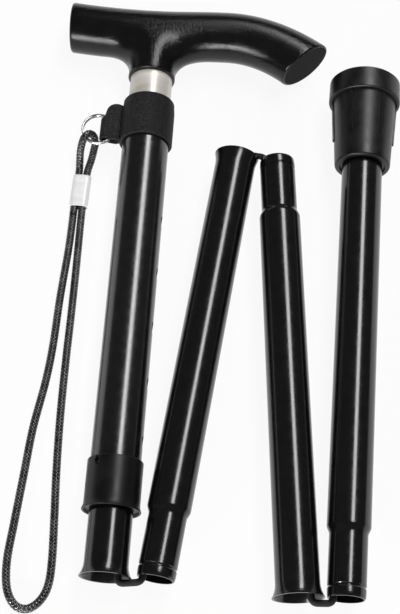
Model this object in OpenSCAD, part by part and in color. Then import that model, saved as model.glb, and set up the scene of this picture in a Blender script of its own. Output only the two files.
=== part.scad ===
// Folding cane, folded in a flat zigzag: a handle section and three tube sections on one elastic cord.
// X runs across the folded sections, Y along them towards the handle, Z up from the table.
// Each section is drawn upright in its own frame and then laid down by lay().

/* [Tubes] */
// Wall of the upper tube
upper_wall = 1.5; // [1:0.1:2]
// Outer diameter of the four lower tubes
tube_d = 19; // [17:0.1:22]
// Wall of the four lower tubes
tube_wall = 1.1; // [0.8:0.1:1.3]
// Length of the tube that slides in the upper tube
inner_tube_length = 186; // [160:0.5:220]
// Length of the inner tube that shows below the upper tube
inner_tube_shown = 31.5; // [26:0.5:40]
// Length of the second section, over its plug
second_length = 206; // [180:0.5:230]
// Length of the third section, over its plug
third_length = 208.5; // [180:0.5:230]
// Length of the bottom tube, over its plug
bottom_tube_length = 243; // [200:0.5:280]
// Length of the swaged plug that enters the next socket
plug_length = 27; // [22:0.5:32]
// Length of the round shoulder above a plug
shoulder_length = 4; // [3:0.1:6]
// Length of the rounded lead-in at a plug's end
lead_in_length = 4; // [2:0.1:6]
// How far the lead-in is drawn in
lead_in = 0.6; // [0.2:0.05:0.7]
// Depth of the groove rolled into a plug above its lead-in
plug_groove = 0.35; // [0.1:0.05:0.5]
// How far the flared lip of the inner tube and the third section stands out
lip_out = 1.7; // [1:0.1:2.5]
// How far the flared lip of the second section stands out
second_lip_out = 1; // [0.5:0.1:1.7]
// Length of a flared mouth
lip_length = 6; // [4:0.1:9]
// Radial clearance between the inner tube and the upper tube
slide_clearance = 0.1; // [0.05:0.01:0.15]
// Radial clearance between a plug and its socket
plug_clearance = 0.1; // [0.05:0.01:0.15]

/* [Height adjustment] */
// Distance between two adjusting holes
hole_pitch = 27; // [20:0.5:36]
// Least distance from the lowest hole to the collar
hole_margin = 5; // [4:0.5:10]
// Distance of the snap button from the inner tube's top end
button_depth = 18; // [16:0.5:24]
// Diameter of the snap button
button_d = 5; // [4:0.1:6]
// Radial clearance of the button in the inner tube
button_clearance = 0.1; // [0.05:0.01:0.2]
// Radial clearance of the button in the upper tube's holes
hole_clearance = 0.3; // [0.2:0.05:0.5]
// Width of the button's leaf spring
leaf_w = 6; // [4:0.1:7]
// Thickness of the leaf spring
leaf_t = 0.6; // [0.4:0.05:0.8]
// Length of the leaf spring below the button
leaf_length = 30; // [24:0.5:36]
// Height of the button from its seat to its dome
button_height = 6.7; // [5.5:0.1:7.5]
// Thickness of the flange under the button
button_flange_t = 0.8; // [0.5:0.1:1.2]
// Depth of the pressed button under the upper tube's bore
button_sink = 0.3; // [0.2:0.05:0.6]
// Thickness of the glide bush's flange
bush_flange = 2.5; // [1.5:0.1:4]
// Depth of the glide bush in the inner tube
bush_spigot = 8; // [5:0.5:10]
// Wall of the glide bush
bush_wall = 2; // [1:0.1:3]

/* [Collar] */
// Length of the locking collar
collar_length = 22.2; // [18:0.1:24]
// Wall of the collar round the upper tube
collar_wall = 1; // [0.8:0.1:1.4]
// Height of the bead at the collar's foot
bead_length = 3.4; // [2:0.1:5]
// How far the bead stands out from the collar
bead_out = 0.7; // [0.3:0.1:1]
// Depth of the hollow in the collar's foot
foot_hollow = 1; // [0.4:0.1:1.6]
// Radius of the collar's rounded edges
collar_round = 0.45; // [0.2:0.05:0.45]
// Height of the collar's inner seat below the upper tube's end
seat_length = 3.2; // [2:0.1:5]
// Width of the notch in the collar's top edge
notch_w = 2.2; // [1.5:0.1:3]
// Depth of the notch to the centre of its round end
notch_depth = 2.6; // [2:0.1:5]
// Diameter of the notch's round end
notch_eye_d = 3.6; // [3:0.1:5]
// Angle of the notch from the top of the lying collar
notch_angle = 34; // [0:1:60]

/* [Handle] */
// Thickness of the grip
grip_d = 24.6; // [22:0.1:27]
// Height of the grip's middle above the ferrule
grip_height = 26.2; // [24:0.1:32]
// Reach of the grip behind the tube
grip_back = 42; // [38:0.5:50]
// Reach of the grip in front of the tube, to the middle of its oval end
grip_front = 75; // [70:0.5:80]
// Length in front of the tube before the grip bends down
grip_straight = 36; // [30:0.5:42]
// Rise of the grip's middle line before it bends down
front_rise = 1.2; // [0:0.1:2]
// Drop of the oval end below that rise
grip_drop = 14.2; // [8:0.1:18]
// Rise of the grip's back end
back_rise = 2.4; // [0:0.1:4]
// Extra radius of the grip at its oval end
front_swell = 1.4; // [0:0.1:2]
// Angle of the oval end from the grip's line
end_angle = 40; // [32:1:50]
// How far the handle's neck stands out from the ferrule
neck_out = 1.2; // [0.8:0.1:2]
// Width of the fillet behind the neck
fillet_back = 13; // [10:0.5:16]
// Width of the fillet in front of the neck
fillet_front = 17; // [12:0.5:19]
// Length of the ferrule
ferrule_length = 20; // [16:0.5:24]
// Wall of the ferrule round the stem
ferrule_wall = 0.6; // [0.4:0.1:1]
// Depth of the stem in the handle
stem_in_handle = 14; // [10:0.5:18]
// Depth of the stem in the upper tube
stem_in_tube = 30; // [24:0.5:36]
// Room between the stem and the glide bush
stem_room = 7.5; // [3:0.5:20]
// Radial clearance of the stem in the handle
stem_clearance = 0.02; // [0.02:0.01:0.1]
// Diameter of the cross rivet
rivet_d = 4; // [3:0.1:5]
// Distance of the rivet from the upper tube's top end
rivet_depth = 9; // [7:0.5:12]

/* [Wrist strap] */
// Width of the woven band along the tube
band_length = 23; // [20:0.5:26]
// Length of the band above the upper tube's end
band_over = 6; // [4:0.5:8]
// Thickness of the band
band_wall = 1.6; // [1.2:0.1:2]
// Thickness of the tab's webbing
webbing_t = 1.2; // [0.8:0.1:1.4]
// Distance of the tab's fold from the ring's middle
tab_inset = 0.8; // [0:0.1:1.5]
// Width of the tab at its fold
tab_end_w = 11.6; // [9:0.1:12]
// Radius of the tab's upper corner
tab_round = 4.5; // [2:0.1:6]
// Middle diameter of the split ring
ring_d = 15.3; // [14.6:0.1:16]
// Diameter of the ring's wire
wire_d = 1.2; // [0.9:0.1:1.3]
// Room between the ring and the band
ring_room = 2.4; // [1.5:0.1:4]
// Height of the ring's middle above the band's lower edge
ring_rise = 7.5; // [6:0.1:10]
// Diameter of the wrist cord
wrist_cord_d = 3.6; // [3:0.1:4]
// Length of the crimp sleeve
crimp_length = 16.8; // [14:0.1:20]
// Wall of the crimp sleeve
crimp_wall = 0.5; // [0.3:0.1:0.7]

/* [Elastic cord] */
// Diameter of the elastic cord
elastic_d = 3; // [2.4:0.1:3.2]
// Clearance of the cord in a plug's bore
cord_clearance = 0.3; // [0.2:0.05:0.6]
// Drop of the cord's middle below a mouth
bend_drop = 2.2; // [2:0.1:3]
// Depth inside a mouth where the bend begins
bend_reach = 8; // [6:0.5:10]
// Length of the stretch that gives when sections are pushed together
lead_length = 60; // [55:0.5:70]
// Depth of the upper anchor in the inner tube
anchor_depth = 84; // [76:0.5:100]
// Distance of the lower anchor's foot from the bottom tube's tip end
lower_anchor_depth = 53; // [30:0.5:80]
// Length of an anchor plug
anchor_length = 8; // [6:0.5:12]
// Clearance of a cord knot in its tube
knot_clearance = 0.4; // [0.2:0.05:0.8]

/* [Rubber tip] */
// How far the tip's base stands out from the skirt
tip_base_out = 2.1; // [1:0.1:4]
// Height of the tip's base
tip_base_h = 11.7; // [9:0.1:13]
// Height of the whole tip
tip_height = 46.7; // [42:0.1:52]
// Wall of the skirt under the base
skirt_wall = 5.6; // [4:0.1:7]
// Wall of the skirt at its lip
skirt_lip_wall = 3.7; // [3:0.1:5]
// Thickness of rubber below the tube
tip_floor = 8.2; // [6:0.1:10]
// Number of ribs on the skirt
rib_count = 6; // [4:1:8]
// Width of a rib
rib_w = 2; // [1:0.1:3]
// Height of a rib above the skirt
rib_h = 0.7; // [0.3:0.1:1.2]
// Length of a rib
rib_length = 21; // [15:0.5:26]
// Radius of the tread's middle pad
tread_pad_r = 6.2; // [4:0.1:8]
// Width of a tread groove
tread_groove_w = 2.4; // [1:0.1:3]
// Width of the ring between two tread grooves
tread_ring_w = 2.8; // [2:0.1:4]
// Depth of the tread
tread_depth = 1.2; // [0.8:0.1:2]
// Thickness of the steel disc below the tube
washer_t = 1.5; // [1:0.1:2]

/* [Folded layout] */
// Lean of the handle section
upper_lean = 3.7; // [3:0.1:4.4]
// Lean of the second section
second_lean = 10.1; // [9.5:0.1:11]
// Lean of the third section
third_lean = -1.1; // [-1.6:0.1:-0.6]
// Lean of the bottom section
bottom_lean = 4.6; // [4:0.1:5.2]
// Room between two neighbouring mouths
mouth_gap = 0.4; // [0.3:0.05:0.6]

/* [Hidden] */
$fn = 96;
eps = 0.01;
// Share of the wall that is left where a lip is spun outwards
lip_thinning = 0.8;
// Radii that mating pieces share
tube_r = tube_d / 2;
bore_r = tube_r - tube_wall;
plug_r = bore_r - plug_clearance;
plug_bore_r = plug_r - tube_wall;
lip_r = tube_r + lip_out;
second_lip_r = tube_r + second_lip_out;
upper_bore_r = tube_r + slide_clearance;
upper_r = upper_bore_r + upper_wall;
stem_r = upper_bore_r;
ferrule_r = stem_r + ferrule_wall;
neck_r = ferrule_r + neck_out;
collar_bore_r = upper_r + slide_clearance;
collar_r = collar_bore_r + collar_wall;
bead_r = collar_r + bead_out;
band_r = upper_r + band_wall;
elastic_r = elastic_d / 2;
cord_offset = plug_bore_r - elastic_r - cord_clearance;
knot_r = bore_r - cord_offset - knot_clearance;
skirt_r = tube_r + skirt_wall;
skirt_lip_r = tube_r + skirt_lip_wall;
tip_r = skirt_r + tip_base_out;
// Heights in the handle section's frame, from the inner tube's mouth
upper_top = inner_tube_length + bush_flange + stem_room + stem_in_tube;
handle_base = upper_top + ferrule_length;
collar_base = inner_tube_shown - seat_length - slide_clearance;
collar_top = collar_base + collar_length;
top_hole_height = inner_tube_length - button_depth;
hole_count = 1 + floor((top_hole_height - collar_top - hole_margin) / hole_pitch);
band_top = upper_top + band_over;
band_base = band_top - band_length;
ring_height = band_base + ring_rise;
ring_reach = upper_r + band_wall + ring_room + ring_d / 2 + wire_d / 2;
tab_reach = ring_reach - tab_inset;
rivet_height = upper_top - rivet_depth;
// The button lies pressed in, just under the upper tube's bore
button_top = upper_bore_r - button_sink;
button_seat = button_top - button_height;
leaf_bend_height = top_hole_height - leaf_length;
// Height of the bottom section's ground face above its plug end
tip_top = bottom_tube_length + washer_t + tip_floor;
lower_anchor_base = bottom_tube_length - lower_anchor_depth;
// Where each section lies: a point on its axis in the table plane
upper_mouth = [-56.3, -138.4];
second_step = -0.7;
third_step = -2.2;
bottom_step = -0.5;
second_end = upper_mouth + [lip_r + tube_r / cos(second_lean - upper_lean) + mouth_gap, second_step];
second_mouth = second_end + second_length * heading(second_lean);
third_end = second_mouth + [second_lip_r + plug_r + mouth_gap, third_step];
third_mouth = third_end - third_length * heading(third_lean);
bottom_end = third_mouth + [lip_r + plug_r + mouth_gap, bottom_step];
plane_z = tip_r;
// The table under the resting cane: a plane below the tip's base, the collar's bead and the strap band
table = [
    spot(bottom_end, bottom_lean, tip_top - tip_base_h / 2, 0) - [0, 0, tip_r],
    spot(upper_mouth, upper_lean, collar_base + bead_length / 2, 0) - [0, 0, bead_r],
    spot(upper_mouth, upper_lean, band_base + band_length / 2, 0) - [0, 0, band_r]
];
tilt = cross(table[1] - table[0], table[2] - table[0]);
function table_z(p) =
    table[0][2] - ((p[0] - table[0][0]) * tilt[0] + (p[1] - table[0][1]) * tilt[1]) / tilt[2];
// Wrist cord: from the crimp sleeve up, through the ring and back, then round the wrist loop on the table
lie_gap = 0.2;
wrist_cord_r = wrist_cord_d / 2;
strand_hole_r = wrist_cord_r + 0.15;
strand_step = wrist_cord_d + 0.3;
crimp_spot = [-74, 49.5];
crimp_lean = 5.1;
crimp_z = table_z(crimp_spot) + strand_hole_r + crimp_wall + lie_gap;
// Half the length of cord that stays straight at the sleeve, and the gap between the cord's two ends in it
strand_reach = crimp_length / 2 + 2;
end_gap = 0.8;
function strand(way, along) =
    let (
        across = way * strand_step / 2,
        at = crimp_spot + along * heading(crimp_lean) + across * [cos(crimp_lean), -sin(crimp_lean)]
    )
    [at[0], at[1], crimp_z];
function on_table(x, y) = [x, y, table_z([x, y]) + wrist_cord_r + lie_gap];
wrist_loop = [
    [-77.2, 35.4], [-78.6, 18.6], [-81.5, -6.2], [-83.7, -30], [-86.3, -47.8], [-90.8, -69.6],
    [-93.8, -91.4], [-96.7, -112.2], [-98.9, -129], [-98.3, -140.8], [-94.8, -147.7],
    [-89.5, -149.5], [-84.3, -146.2], [-81, -139.7], [-79.8, -128.8], [-79.6, -109],
    [-79.6, -89.2], [-79, -64.5], [-77.6, -37.8], [-76, -14], [-74.6, 9.7]
];
wrist_route = concat(
    [
        strand(1, 0), strand(1, strand_reach), [-70.3, 66.4, 10.4], [-68.6, 71.8, 13.4], [-68.3, 75.3, 15],
        [-69.8, 78.3, 18.2], [-72.4, 77.7, 20.6], [-74.6, 73.7, 18.6], [-75.5, 67.3, 12.4],
        strand(-1, strand_reach), strand(-1, -strand_reach)
    ],
    [for (p = wrist_loop) on_table(p[0], p[1])],
    [strand(1, -strand_reach), strand(1, -end_gap)]
);

function heading(lean) = [sin(lean), cos(lean)];
function unit(v) = v / norm(v);
function mix(a, b, s) = a + (b - a) * s;
function reversed(list) = [for (i = [len(list) - 1 : -1 : 0]) list[i]];
// Point of a lying section: a height along its axis and an offset to its right
function spot(origin, lean, height, offset) =
    let (at = origin + height * heading(lean) + offset * [cos(lean), -sin(lean)])
    [at[0], at[1], plane_z];

// Corner of the cord outside a mouth, and the pole about which two sections fold: the point of the cord
// between two corners that is as far from one section's axis as from the other's
function cord_corner(origin, lean, offset) = spot(origin, lean, -bend_drop, offset);
function off_axis(p, origin, lean) = abs([p[0] - origin[0], p[1] - origin[1]] * [cos(lean), -sin(lean)]);
function fold_pole(origin_a, lean_a, offset_a, origin_b, lean_b, offset_b) =
    let (
        a = cord_corner(origin_a, lean_a, offset_a),
        b = cord_corner(origin_b, lean_b, offset_b),
        from_a = off_axis(b, origin_a, lean_a) - off_axis(a, origin_a, lean_a),
        from_b = off_axis(a, origin_b, lean_b) - off_axis(b, origin_b, lean_b)
    )
    mix(a, b, (off_axis(a, origin_b, lean_b) - off_axis(a, origin_a, lean_a)) / (from_a + from_b));
pole_ab = fold_pole(upper_mouth, upper_lean, cord_offset, second_end, second_lean, -cord_offset);
pole_bc = fold_pole(
    second_mouth, second_lean + 180, -cord_offset,
    third_end, third_lean + 180, cord_offset
);
pole_cd = fold_pole(third_mouth, third_lean, cord_offset, bottom_end, bottom_lean, -cord_offset);

// Lays an upright section on the table, its axis at plane_z
module lay(origin, lean) {
    translate([origin[0], origin[1], plane_z]) rotate([0, 0, -lean]) rotate([-90, 0, 0]) children();
}
module lay_upper() {
    lay(upper_mouth, upper_lean) children();
}
module lay_second() {
    lay(second_end, second_lean) children();
}
module lay_third() {
    lay(third_end, third_lean + 180) children();
}
module lay_bottom() {
    lay(bottom_end, bottom_lean) children();
}

// Joins rings of points into one closed solid; caps lists the faces of an end ring that isn't convex
module skin(rings, caps) {
    count = len(rings[0]);
    last = len(rings) - 1;
    ends = is_undef(caps) ? [[for (k = [0 : count - 1]) k]] : caps;
    polyhedron(
        points = [for (ring = rings) each ring],
        faces = concat(
            [for (face = ends) reversed(face)],
            [
                for (i = [0 : last - 1], k = [0 : count - 1])
                let (a = i * count + k, b = i * count + (k + 1) % count)
                each [[a, b, b + count], [a, b + count, a + count]]
            ],
            [for (face = ends) [for (k = face) last * count + k]]
        ),
        convexity = 8
    );
}
// Tube of round rings along a path
function tangent(path, i) = unit(path[min(i + 1, len(path) - 1)] - path[max(i - 1, 0)]);
function path_rings(path, r, sides) = [
    for (i = [0 : len(path) - 1])
    let (t = tangent(path, i), side = unit(cross(t, [0, 0, 1])), up = cross(side, t))
    [for (k = [0 : sides - 1]) path[i] + r * (cos(360 * k / sides) * side + sin(360 * k / sides) * up)]
];
// Smooth curve through the route's points, with a count of steps between neighbours
function curve_point(a, b, c, d, s) =
    0.5 * (2 * b + (c - a) * s + (2 * a - 5 * b + 4 * c - d) * s * s + (3 * b - a - 3 * c + d) * s * s * s);
function smooth_route(route, step) = [
    for (i = [0 : len(route) - 2])
    let (
        a = route[max(i - 1, 0)],
        b = route[i],
        c = route[i + 1],
        d = route[min(i + 2, len(route) - 1)],
        steps = max(1, round(norm(c - b) / step))
    )
    for (s = [0 : steps - (i == len(route) - 2 ? 0 : 1)]) curve_point(a, b, c, d, s / steps)
];
// Arc that rounds the corner b between a and c
function corner_arc(a, b, c, r, steps) =
    let (
        u = unit(a - b),
        w = unit(c - b),
        half = acos(u * w) / 2,
        centre = b + unit(u + w) * r / sin(half),
        first = b + u * r / tan(half) - centre,
        final = b + w * r / tan(half) - centre,
        turn = 180 - 2 * half
    )
    [
        for (i = [0 : steps])
        centre + (sin(turn * (1 - i / steps)) * first + sin(turn * i / steps) * final) / sin(turn)
    ];

// Wall profiles of the drawn tubes, as radius and height
function lip_curve(r, mouth_r, mouth_z, way) = [
    for (i = [0 : 6]) let (s = i / 6) [mix(r, mouth_r, s * s), mouth_z + way * lip_length * (1 - s)]
];
function shoulder_curve(r0, r1) = [
    for (i = [0 : 8]) [mix(r0, r1, (1 - cos(180 * i / 8)) / 2), plug_length + shoulder_length * i / 8]
];
function groove_curve() = [
    for (i = [0 : 6]) [plug_r - plug_groove * sin(30 * i), lead_in_length + 1.5 * i / 6]
];
module plug_tube(top_outer, top_inner) {
    rotate_extrude()
        polygon(concat(
            [for (i = [0 : 5]) [plug_r - lead_in * pow(1 - i / 6, 2), lead_in_length * pow(i / 6, 2)]],
            groove_curve(), shoulder_curve(plug_r, tube_r), top_outer,
            reversed(top_inner), reversed(shoulder_curve(plug_bore_r, bore_r)), [[plug_bore_r, 0]]
        ));
}
module socket_section(length, mouth_r) {
    plug_tube(
        lip_curve(tube_r, mouth_r, length, -1),
        lip_curve(bore_r, mouth_r - tube_wall * lip_thinning, length, -1)
    );
}
// Straight stretch of elastic cord along a section's axis
module elastic(offset, from, to) {
    color("black") translate([offset, 0, from]) cylinder(r = elastic_r, h = to - from);
}
// Elastic cord that changes sides in its tube, with straight ends that meet the next stretch squarely
module elastic_cross(origin, lean, offset, from, to) {
    color("black")
        skin(path_rings([
            spot(origin, lean, from, offset), spot(origin, lean, from + elastic_r, offset),
            spot(origin, lean, to - elastic_r, -offset), spot(origin, lean, to, -offset)
        ], elastic_r, 12));
}
// Half of the cord's way to the next mouth, from inside the tube round its corner to the fold's pole
module half_bend(origin, lean, offset, pole) {
    inside = spot(origin, lean, bend_reach, offset);
    corner = cord_corner(origin, lean, offset);
    color("black")
        skin(path_rings(concat(
            [inside, mix(inside, corner, 0.4)],
            corner_arc(inside, corner, pole, bend_drop, 5),
            [pole]
        ), elastic_r, 12));
}
module anchor_plug(base) {
    difference() {
        translate([0, 0, base]) cylinder(r = bore_r, h = anchor_length);
        translate([0, 0, base]) children();
    }
}
module cord_hole(offset) {
    translate([offset, 0, -1]) cylinder(r = elastic_r, h = anchor_length + 2);
}
module cord_knot(offset, base) {
    translate([offset, 0, base])
        rotate_extrude()
            polygon(concat(
                [[0, 0]],
                [for (i = [0 : 8]) knot_r * [cos(22.5 * i - 90), 1 + sin(22.5 * i - 90)]]
            ));
}

// Grip line: the middle of the handle in the plane of the fold, from the ferrule's top
function bend_share(x) = max(0, x - grip_straight) / (grip_front - grip_straight);
function rise_share(x) = let (s = min(1, x / grip_straight)) s * s * (3 - 2 * s);
function grip_z(x) =
    x < 0 ? grip_height + back_rise * pow(x / grip_back, 2)
    : grip_height + front_rise * rise_share(x) - grip_drop * pow(bend_share(x), 2);
function grip_slope(x) =
    let (s = min(1, x / grip_straight))
    x < 0 ? atan(2 * back_rise * x / pow(grip_back, 2))
    : atan(6 * front_rise * s * (1 - s) / grip_straight
        - 2 * grip_drop * bend_share(x) / (grip_front - grip_straight));
function grip_r(x) = grip_d / 2 + front_swell * pow(bend_share(x), 2);
function grip_point(x) = [x, grip_z(x)];
function grip_edge(x, way) = grip_point(x) + way * grip_r(x) * [-sin(grip_slope(x)), cos(grip_slope(x))];
// The handle's outline, as pairs of an outline point and the point of its skeleton that it bulges from:
// the lower edge from the back, down and up the neck, on to the front, and back along the upper edge
cut_over = 6;
grip_overrun = 16;
neck_straight = 3;
back_steps = 5;
fillet_steps = 5;
front_steps = 10;
function bar_side(stations, way) = [for (x = stations) [grip_edge(x, way), grip_point(x)]];
function neck_side(way, root_x) =
    let (root = grip_edge(way * root_x, -1), rise = root[1] - neck_straight)
    concat(
        [
            for (i = [0 : 2 * fillet_steps])
            let (share = 1 - i / fillet_steps, a = 45 * (1 + share))
            [
                [way * (root_x - (root_x - neck_r) * cos(a)), neck_straight + rise * sin(a)],
                share > 0 ? grip_point(way * root_x * share) : [0, mix(neck_straight, grip_z(0), 1 + share)]
            ]
        ],
        [[[way * neck_r, -cut_over], [0, -cut_over]]]
    );
function grip_outline() =
    let (
        back_root = neck_r + fillet_back,
        front_root = neck_r + fillet_front,
        back = [for (i = [0 : back_steps - 1]) mix(-grip_back - cut_over, -back_root, i / back_steps)],
        front = [for (i = [1 : front_steps]) mix(front_root, grip_front + grip_overrun, i / front_steps)],
        over_neck = [
            for (i = [-fillet_steps : fillet_steps])
            (i < 0 ? back_root : front_root) * i / fillet_steps
        ]
    )
    concat(
        bar_side(back, -1), neck_side(-1, back_root),
        reversed(neck_side(1, front_root)), bar_side(front, -1),
        bar_side(reversed(concat(back, over_neck, front)), 1)
    );
// Flat side of the grip as strips of triangles: back, front and neck, which meet in one triangle
function strip(first, final, sum) = [
    for (k = [first : final - 1])
    each [[k, k + 1, sum - k - 1], [k, sum - k - 1, sum - k]]
];
function grip_caps(count) =
    let (
        left = back_steps + fillet_steps,
        right = left + 2 * fillet_steps + 3,
        top = count - 1 - left
    )
    concat(
        strip(0, left, count - 1), strip(left, left + fillet_steps + 1, left + right),
        strip(right, right + fillet_steps + front_steps, right + top), [[left, right, top]]
    );
module grip_body() {
    outline = grip_outline();
    skin([
        for (a = [-84 : 14 : 84])
        [for (pair = outline) let (p = mix(pair[0], pair[1], 1 - cos(a))) [p[0], grip_d / 2 * sin(a), p[1]]]
    ], grip_caps(len(outline)));
}
// Keeps what lies above the ferrule, behind the oval end and in front of the flat back
module grip_limits() {
    slant = 2 * grip_d;
    cut = slant * [cos(end_angle), sin(end_angle)];
    rotate([90, 0, 0])
        linear_extrude(height = 2 * grip_d, center = true)
            polygon([
                [-grip_back, 0], [2 * neck_r, 0],
                grip_point(grip_front) - cut, grip_point(grip_front) + cut,
                [-grip_back, grip_point(grip_front)[1] + cut[1]]
            ]);
}

module handle() {
    color("#161618")
        lay_upper() translate([0, 0, handle_base])
            difference() {
                intersection() {
                    grip_body();
                    grip_limits();
                }
                translate([0, 0, -1]) cylinder(r = stem_r + stem_clearance, h = stem_in_handle + 1);
            }
}

module handle_stem() {
    color("silver")
        lay_upper()
            difference() {
                translate([0, 0, upper_top - stem_in_tube])
                    cylinder(r = stem_r, h = stem_in_tube + ferrule_length + stem_in_handle);
                rivet_hole();
            }
}

module ferrule() {
    edge = 0.25;
    color("#d8d0c0")
        lay_upper() translate([0, 0, upper_top])
            rotate_extrude()
                polygon([
                    [stem_r, 0], [ferrule_r - edge, 0], [ferrule_r, edge],
                    [ferrule_r, ferrule_length - edge], [ferrule_r - edge, ferrule_length],
                    [stem_r, ferrule_length]
                ]);
}

module rivet_hole() {
    translate([0, 0, rivet_height]) rotate([90, 0, 0])
        cylinder(d = rivet_d, h = 4 * upper_r, center = true);
}

module handle_rivet() {
    half = sqrt(pow(upper_r, 2) - pow(rivet_d / 2, 2));
    color("silver")
        lay_upper() translate([0, 0, rivet_height]) rotate([90, 0, 0])
            cylinder(d = rivet_d, h = 2 * half, center = true);
}

module upper_tube() {
    color("#0b0b0d")
        lay_upper()
            difference() {
                translate([0, 0, inner_tube_shown])
                    rotate_extrude()
                        translate([upper_bore_r, 0]) square([upper_wall, upper_top - inner_tube_shown]);
                for (i = [0 : hole_count - 1])
                    translate([0, 0, top_hole_height - i * hole_pitch]) rotate([0, 90, 0])
                        cylinder(r = button_d / 2 + hole_clearance, h = 2 * upper_r);
                rivet_hole();
            }
}

// Woven band round the tube, with a tab folded back over the ring
module strap_band() {
    ring_t = 2 * wire_d - 0.1;
    slot = ring_t / 2 + 0.2;
    fold_r = slot + webbing_t;
    fold_x = -(tab_reach - fold_r);
    tab_low = ring_height - tab_end_w / 2;
    tab_top = band_top - 2;
    seam = ring_reach - ring_d / 2 - wire_d / 2 - 0.4;
    root = upper_r + band_wall / 2;
    color("#101012")
        lay_upper() {
            rotate_extrude()
                polygon([
                    [upper_r, band_base], [band_r, band_base], [band_r, upper_top + 1],
                    [band_r - 0.4, band_top], [ferrule_r + 0.1, band_top], [upper_r, upper_top + 1]
                ]);
            for (way = [-1, 1])
                translate([0, way * (slot + webbing_t / 2), 0]) rotate([90, 0, 0])
                    linear_extrude(height = webbing_t, center = true)
                        polygon(concat(
                            [[-root, band_base + 0.5], [-root, tab_top]],
                            [
                                for (a = [0 : 15 : 90])
                                [fold_x + tab_round * (1 - sin(a)), tab_top - tab_round * (1 - cos(a))]
                            ],
                            [[fold_x, tab_low]]
                        ));
            translate([-seam, -slot - eps, band_base + 1])
                cube([seam - root, 2 * (slot + eps), band_length - 4]);
            translate([fold_x, 0, tab_low])
                difference() {
                    cylinder(r = fold_r, h = tab_end_w);
                    translate([0, 0, -1]) cylinder(r = slot, h = tab_end_w + 2);
                    translate([0, -fold_r - 1, -1]) cube([2 * fold_r, 2 * fold_r + 2, tab_end_w + 2]);
                }
        }
}

// Two turns of wire lying on each other
module split_ring() {
    turn = wire_d - 0.1;
    color("silver")
        lay_upper() translate([-ring_reach, 0, ring_height]) rotate([90, 0, 0])
            for (way = [-1, 1])
                rotate_extrude() translate([ring_d / 2, way * turn / 2]) circle(d = wire_d, $fn = 24);
}

// Flat oval sleeve round two strands
module crimp_sleeve() {
    color("#e4e4e6")
        translate([crimp_spot[0], crimp_spot[1], crimp_z]) rotate([0, 0, -crimp_lean]) rotate([-90, 0, 0])
            linear_extrude(height = crimp_length, center = true)
                difference() {
                    strand_pair(strand_hole_r + crimp_wall);
                    strand_pair(strand_hole_r);
                }
}
module strand_pair(r) {
    square([strand_step, 2 * r], center = true);
    for (way = [-1, 1]) translate([way * strand_step / 2, 0]) circle(r = r);
}

module wrist_cord() {
    color("black") skin(path_rings(smooth_route(wrist_route, 2.2 * wrist_cord_d), wrist_cord_r, 8));
}

module locking_collar() {
    round = collar_round;
    low = collar_base;
    high = collar_top;
    color("#18181a")
        lay_upper()
            difference() {
                rotate_extrude()
                    polygon(concat(
                        [
                            [upper_bore_r, low + foot_hollow], [bead_r - 3 * round, low + foot_hollow],
                            [bead_r - 2 * round, low]
                        ],
                        [
                            for (a = [0 : 22.5 : 90])
                            [bead_r - round + round * sin(a), low + round - round * cos(a)]
                        ],
                        [
                            for (i = [1 : 6])
                            [collar_r + bead_out * pow(1 - i / 6, 2), low + mix(round, bead_length, i / 6)]
                        ],
                        [
                            for (a = [0 : 22.5 : 90])
                            [collar_r - round + round * cos(a), high - round + round * sin(a)]
                        ],
                        [
                            [collar_bore_r, high], [collar_bore_r, low + seat_length],
                            [upper_bore_r, low + seat_length]
                        ]
                    ));
                rotate([0, 0, -90 - notch_angle]) {
                    translate([0, -notch_w / 2, high - notch_depth])
                        cube([2 * collar_r, notch_w, notch_depth + 1]);
                    translate([0, 0, high - notch_depth]) rotate([0, 90, 0])
                        cylinder(d = notch_eye_d, h = 2 * collar_r);
                }
            }
}

module inner_tube() {
    color("#0b0b0d")
        lay_upper()
            difference() {
                rotate_extrude()
                    polygon(concat(
                        [[tube_r, inner_tube_length]], lip_curve(tube_r, lip_r, 0, 1),
                        reversed(lip_curve(bore_r, lip_r - tube_wall * lip_thinning, 0, 1)),
                        [[bore_r, inner_tube_length]]
                    ));
                translate([0, 0, top_hole_height]) rotate([0, 90, 0])
                    cylinder(r = button_d / 2 + button_clearance, h = 2 * upper_r);
            }
}

module glide_bush() {
    color("white")
        lay_upper()
            difference() {
                union() {
                    translate([0, 0, inner_tube_length])
                        cylinder(r = tube_r + slide_clearance / 2, h = bush_flange);
                    translate([0, 0, inner_tube_length - bush_spigot])
                        cylinder(r = bore_r, h = bush_spigot + 1);
                }
                translate([0, 0, inner_tube_length - bush_spigot - 1])
                    cylinder(r = bore_r - bush_wall, h = bush_spigot + bush_flange + 2);
            }
}

module snap_button() {
    dome = 1.2;
    shank_r = button_d / 2;
    color("silver")
        lay_upper() translate([0, 0, top_hole_height]) rotate([0, 90, 0])
            rotate_extrude()
                polygon(concat(
                    [
                        [0, button_seat], [shank_r + 0.6, button_seat],
                        [shank_r + 0.6, button_seat + button_flange_t],
                        [shank_r, button_seat + button_flange_t]
                    ],
                    [for (i = [0 : 6]) [shank_r * cos(15 * i), button_top - dome + dome * sin(15 * i)]]
                ));
}

// Leaf clip: the front leaf carries the button, the back leaf leans on the far wall
module button_spring() {
    back_x = -sqrt(pow(bore_r, 2) - pow(leaf_w / 2, 2)) + leaf_t / 2;
    front_x = button_seat - leaf_t / 2;
    knee = top_hole_height - button_d;
    color("silver")
        lay_upper() rotate([90, 0, 0])
            linear_extrude(height = leaf_w, center = true) {
                leaf([back_x, leaf_bend_height], [back_x, top_hole_height]);
                leaf([back_x, leaf_bend_height], [front_x, knee]);
                leaf([front_x, knee], [front_x, top_hole_height + button_d]);
            }
}
module leaf(from, to) {
    run = to - from;
    translate(from) {
        rotate(atan2(run[1], run[0])) translate([0, -leaf_t / 2]) square([norm(run), leaf_t]);
        circle(d = leaf_t);
    }
}

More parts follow.
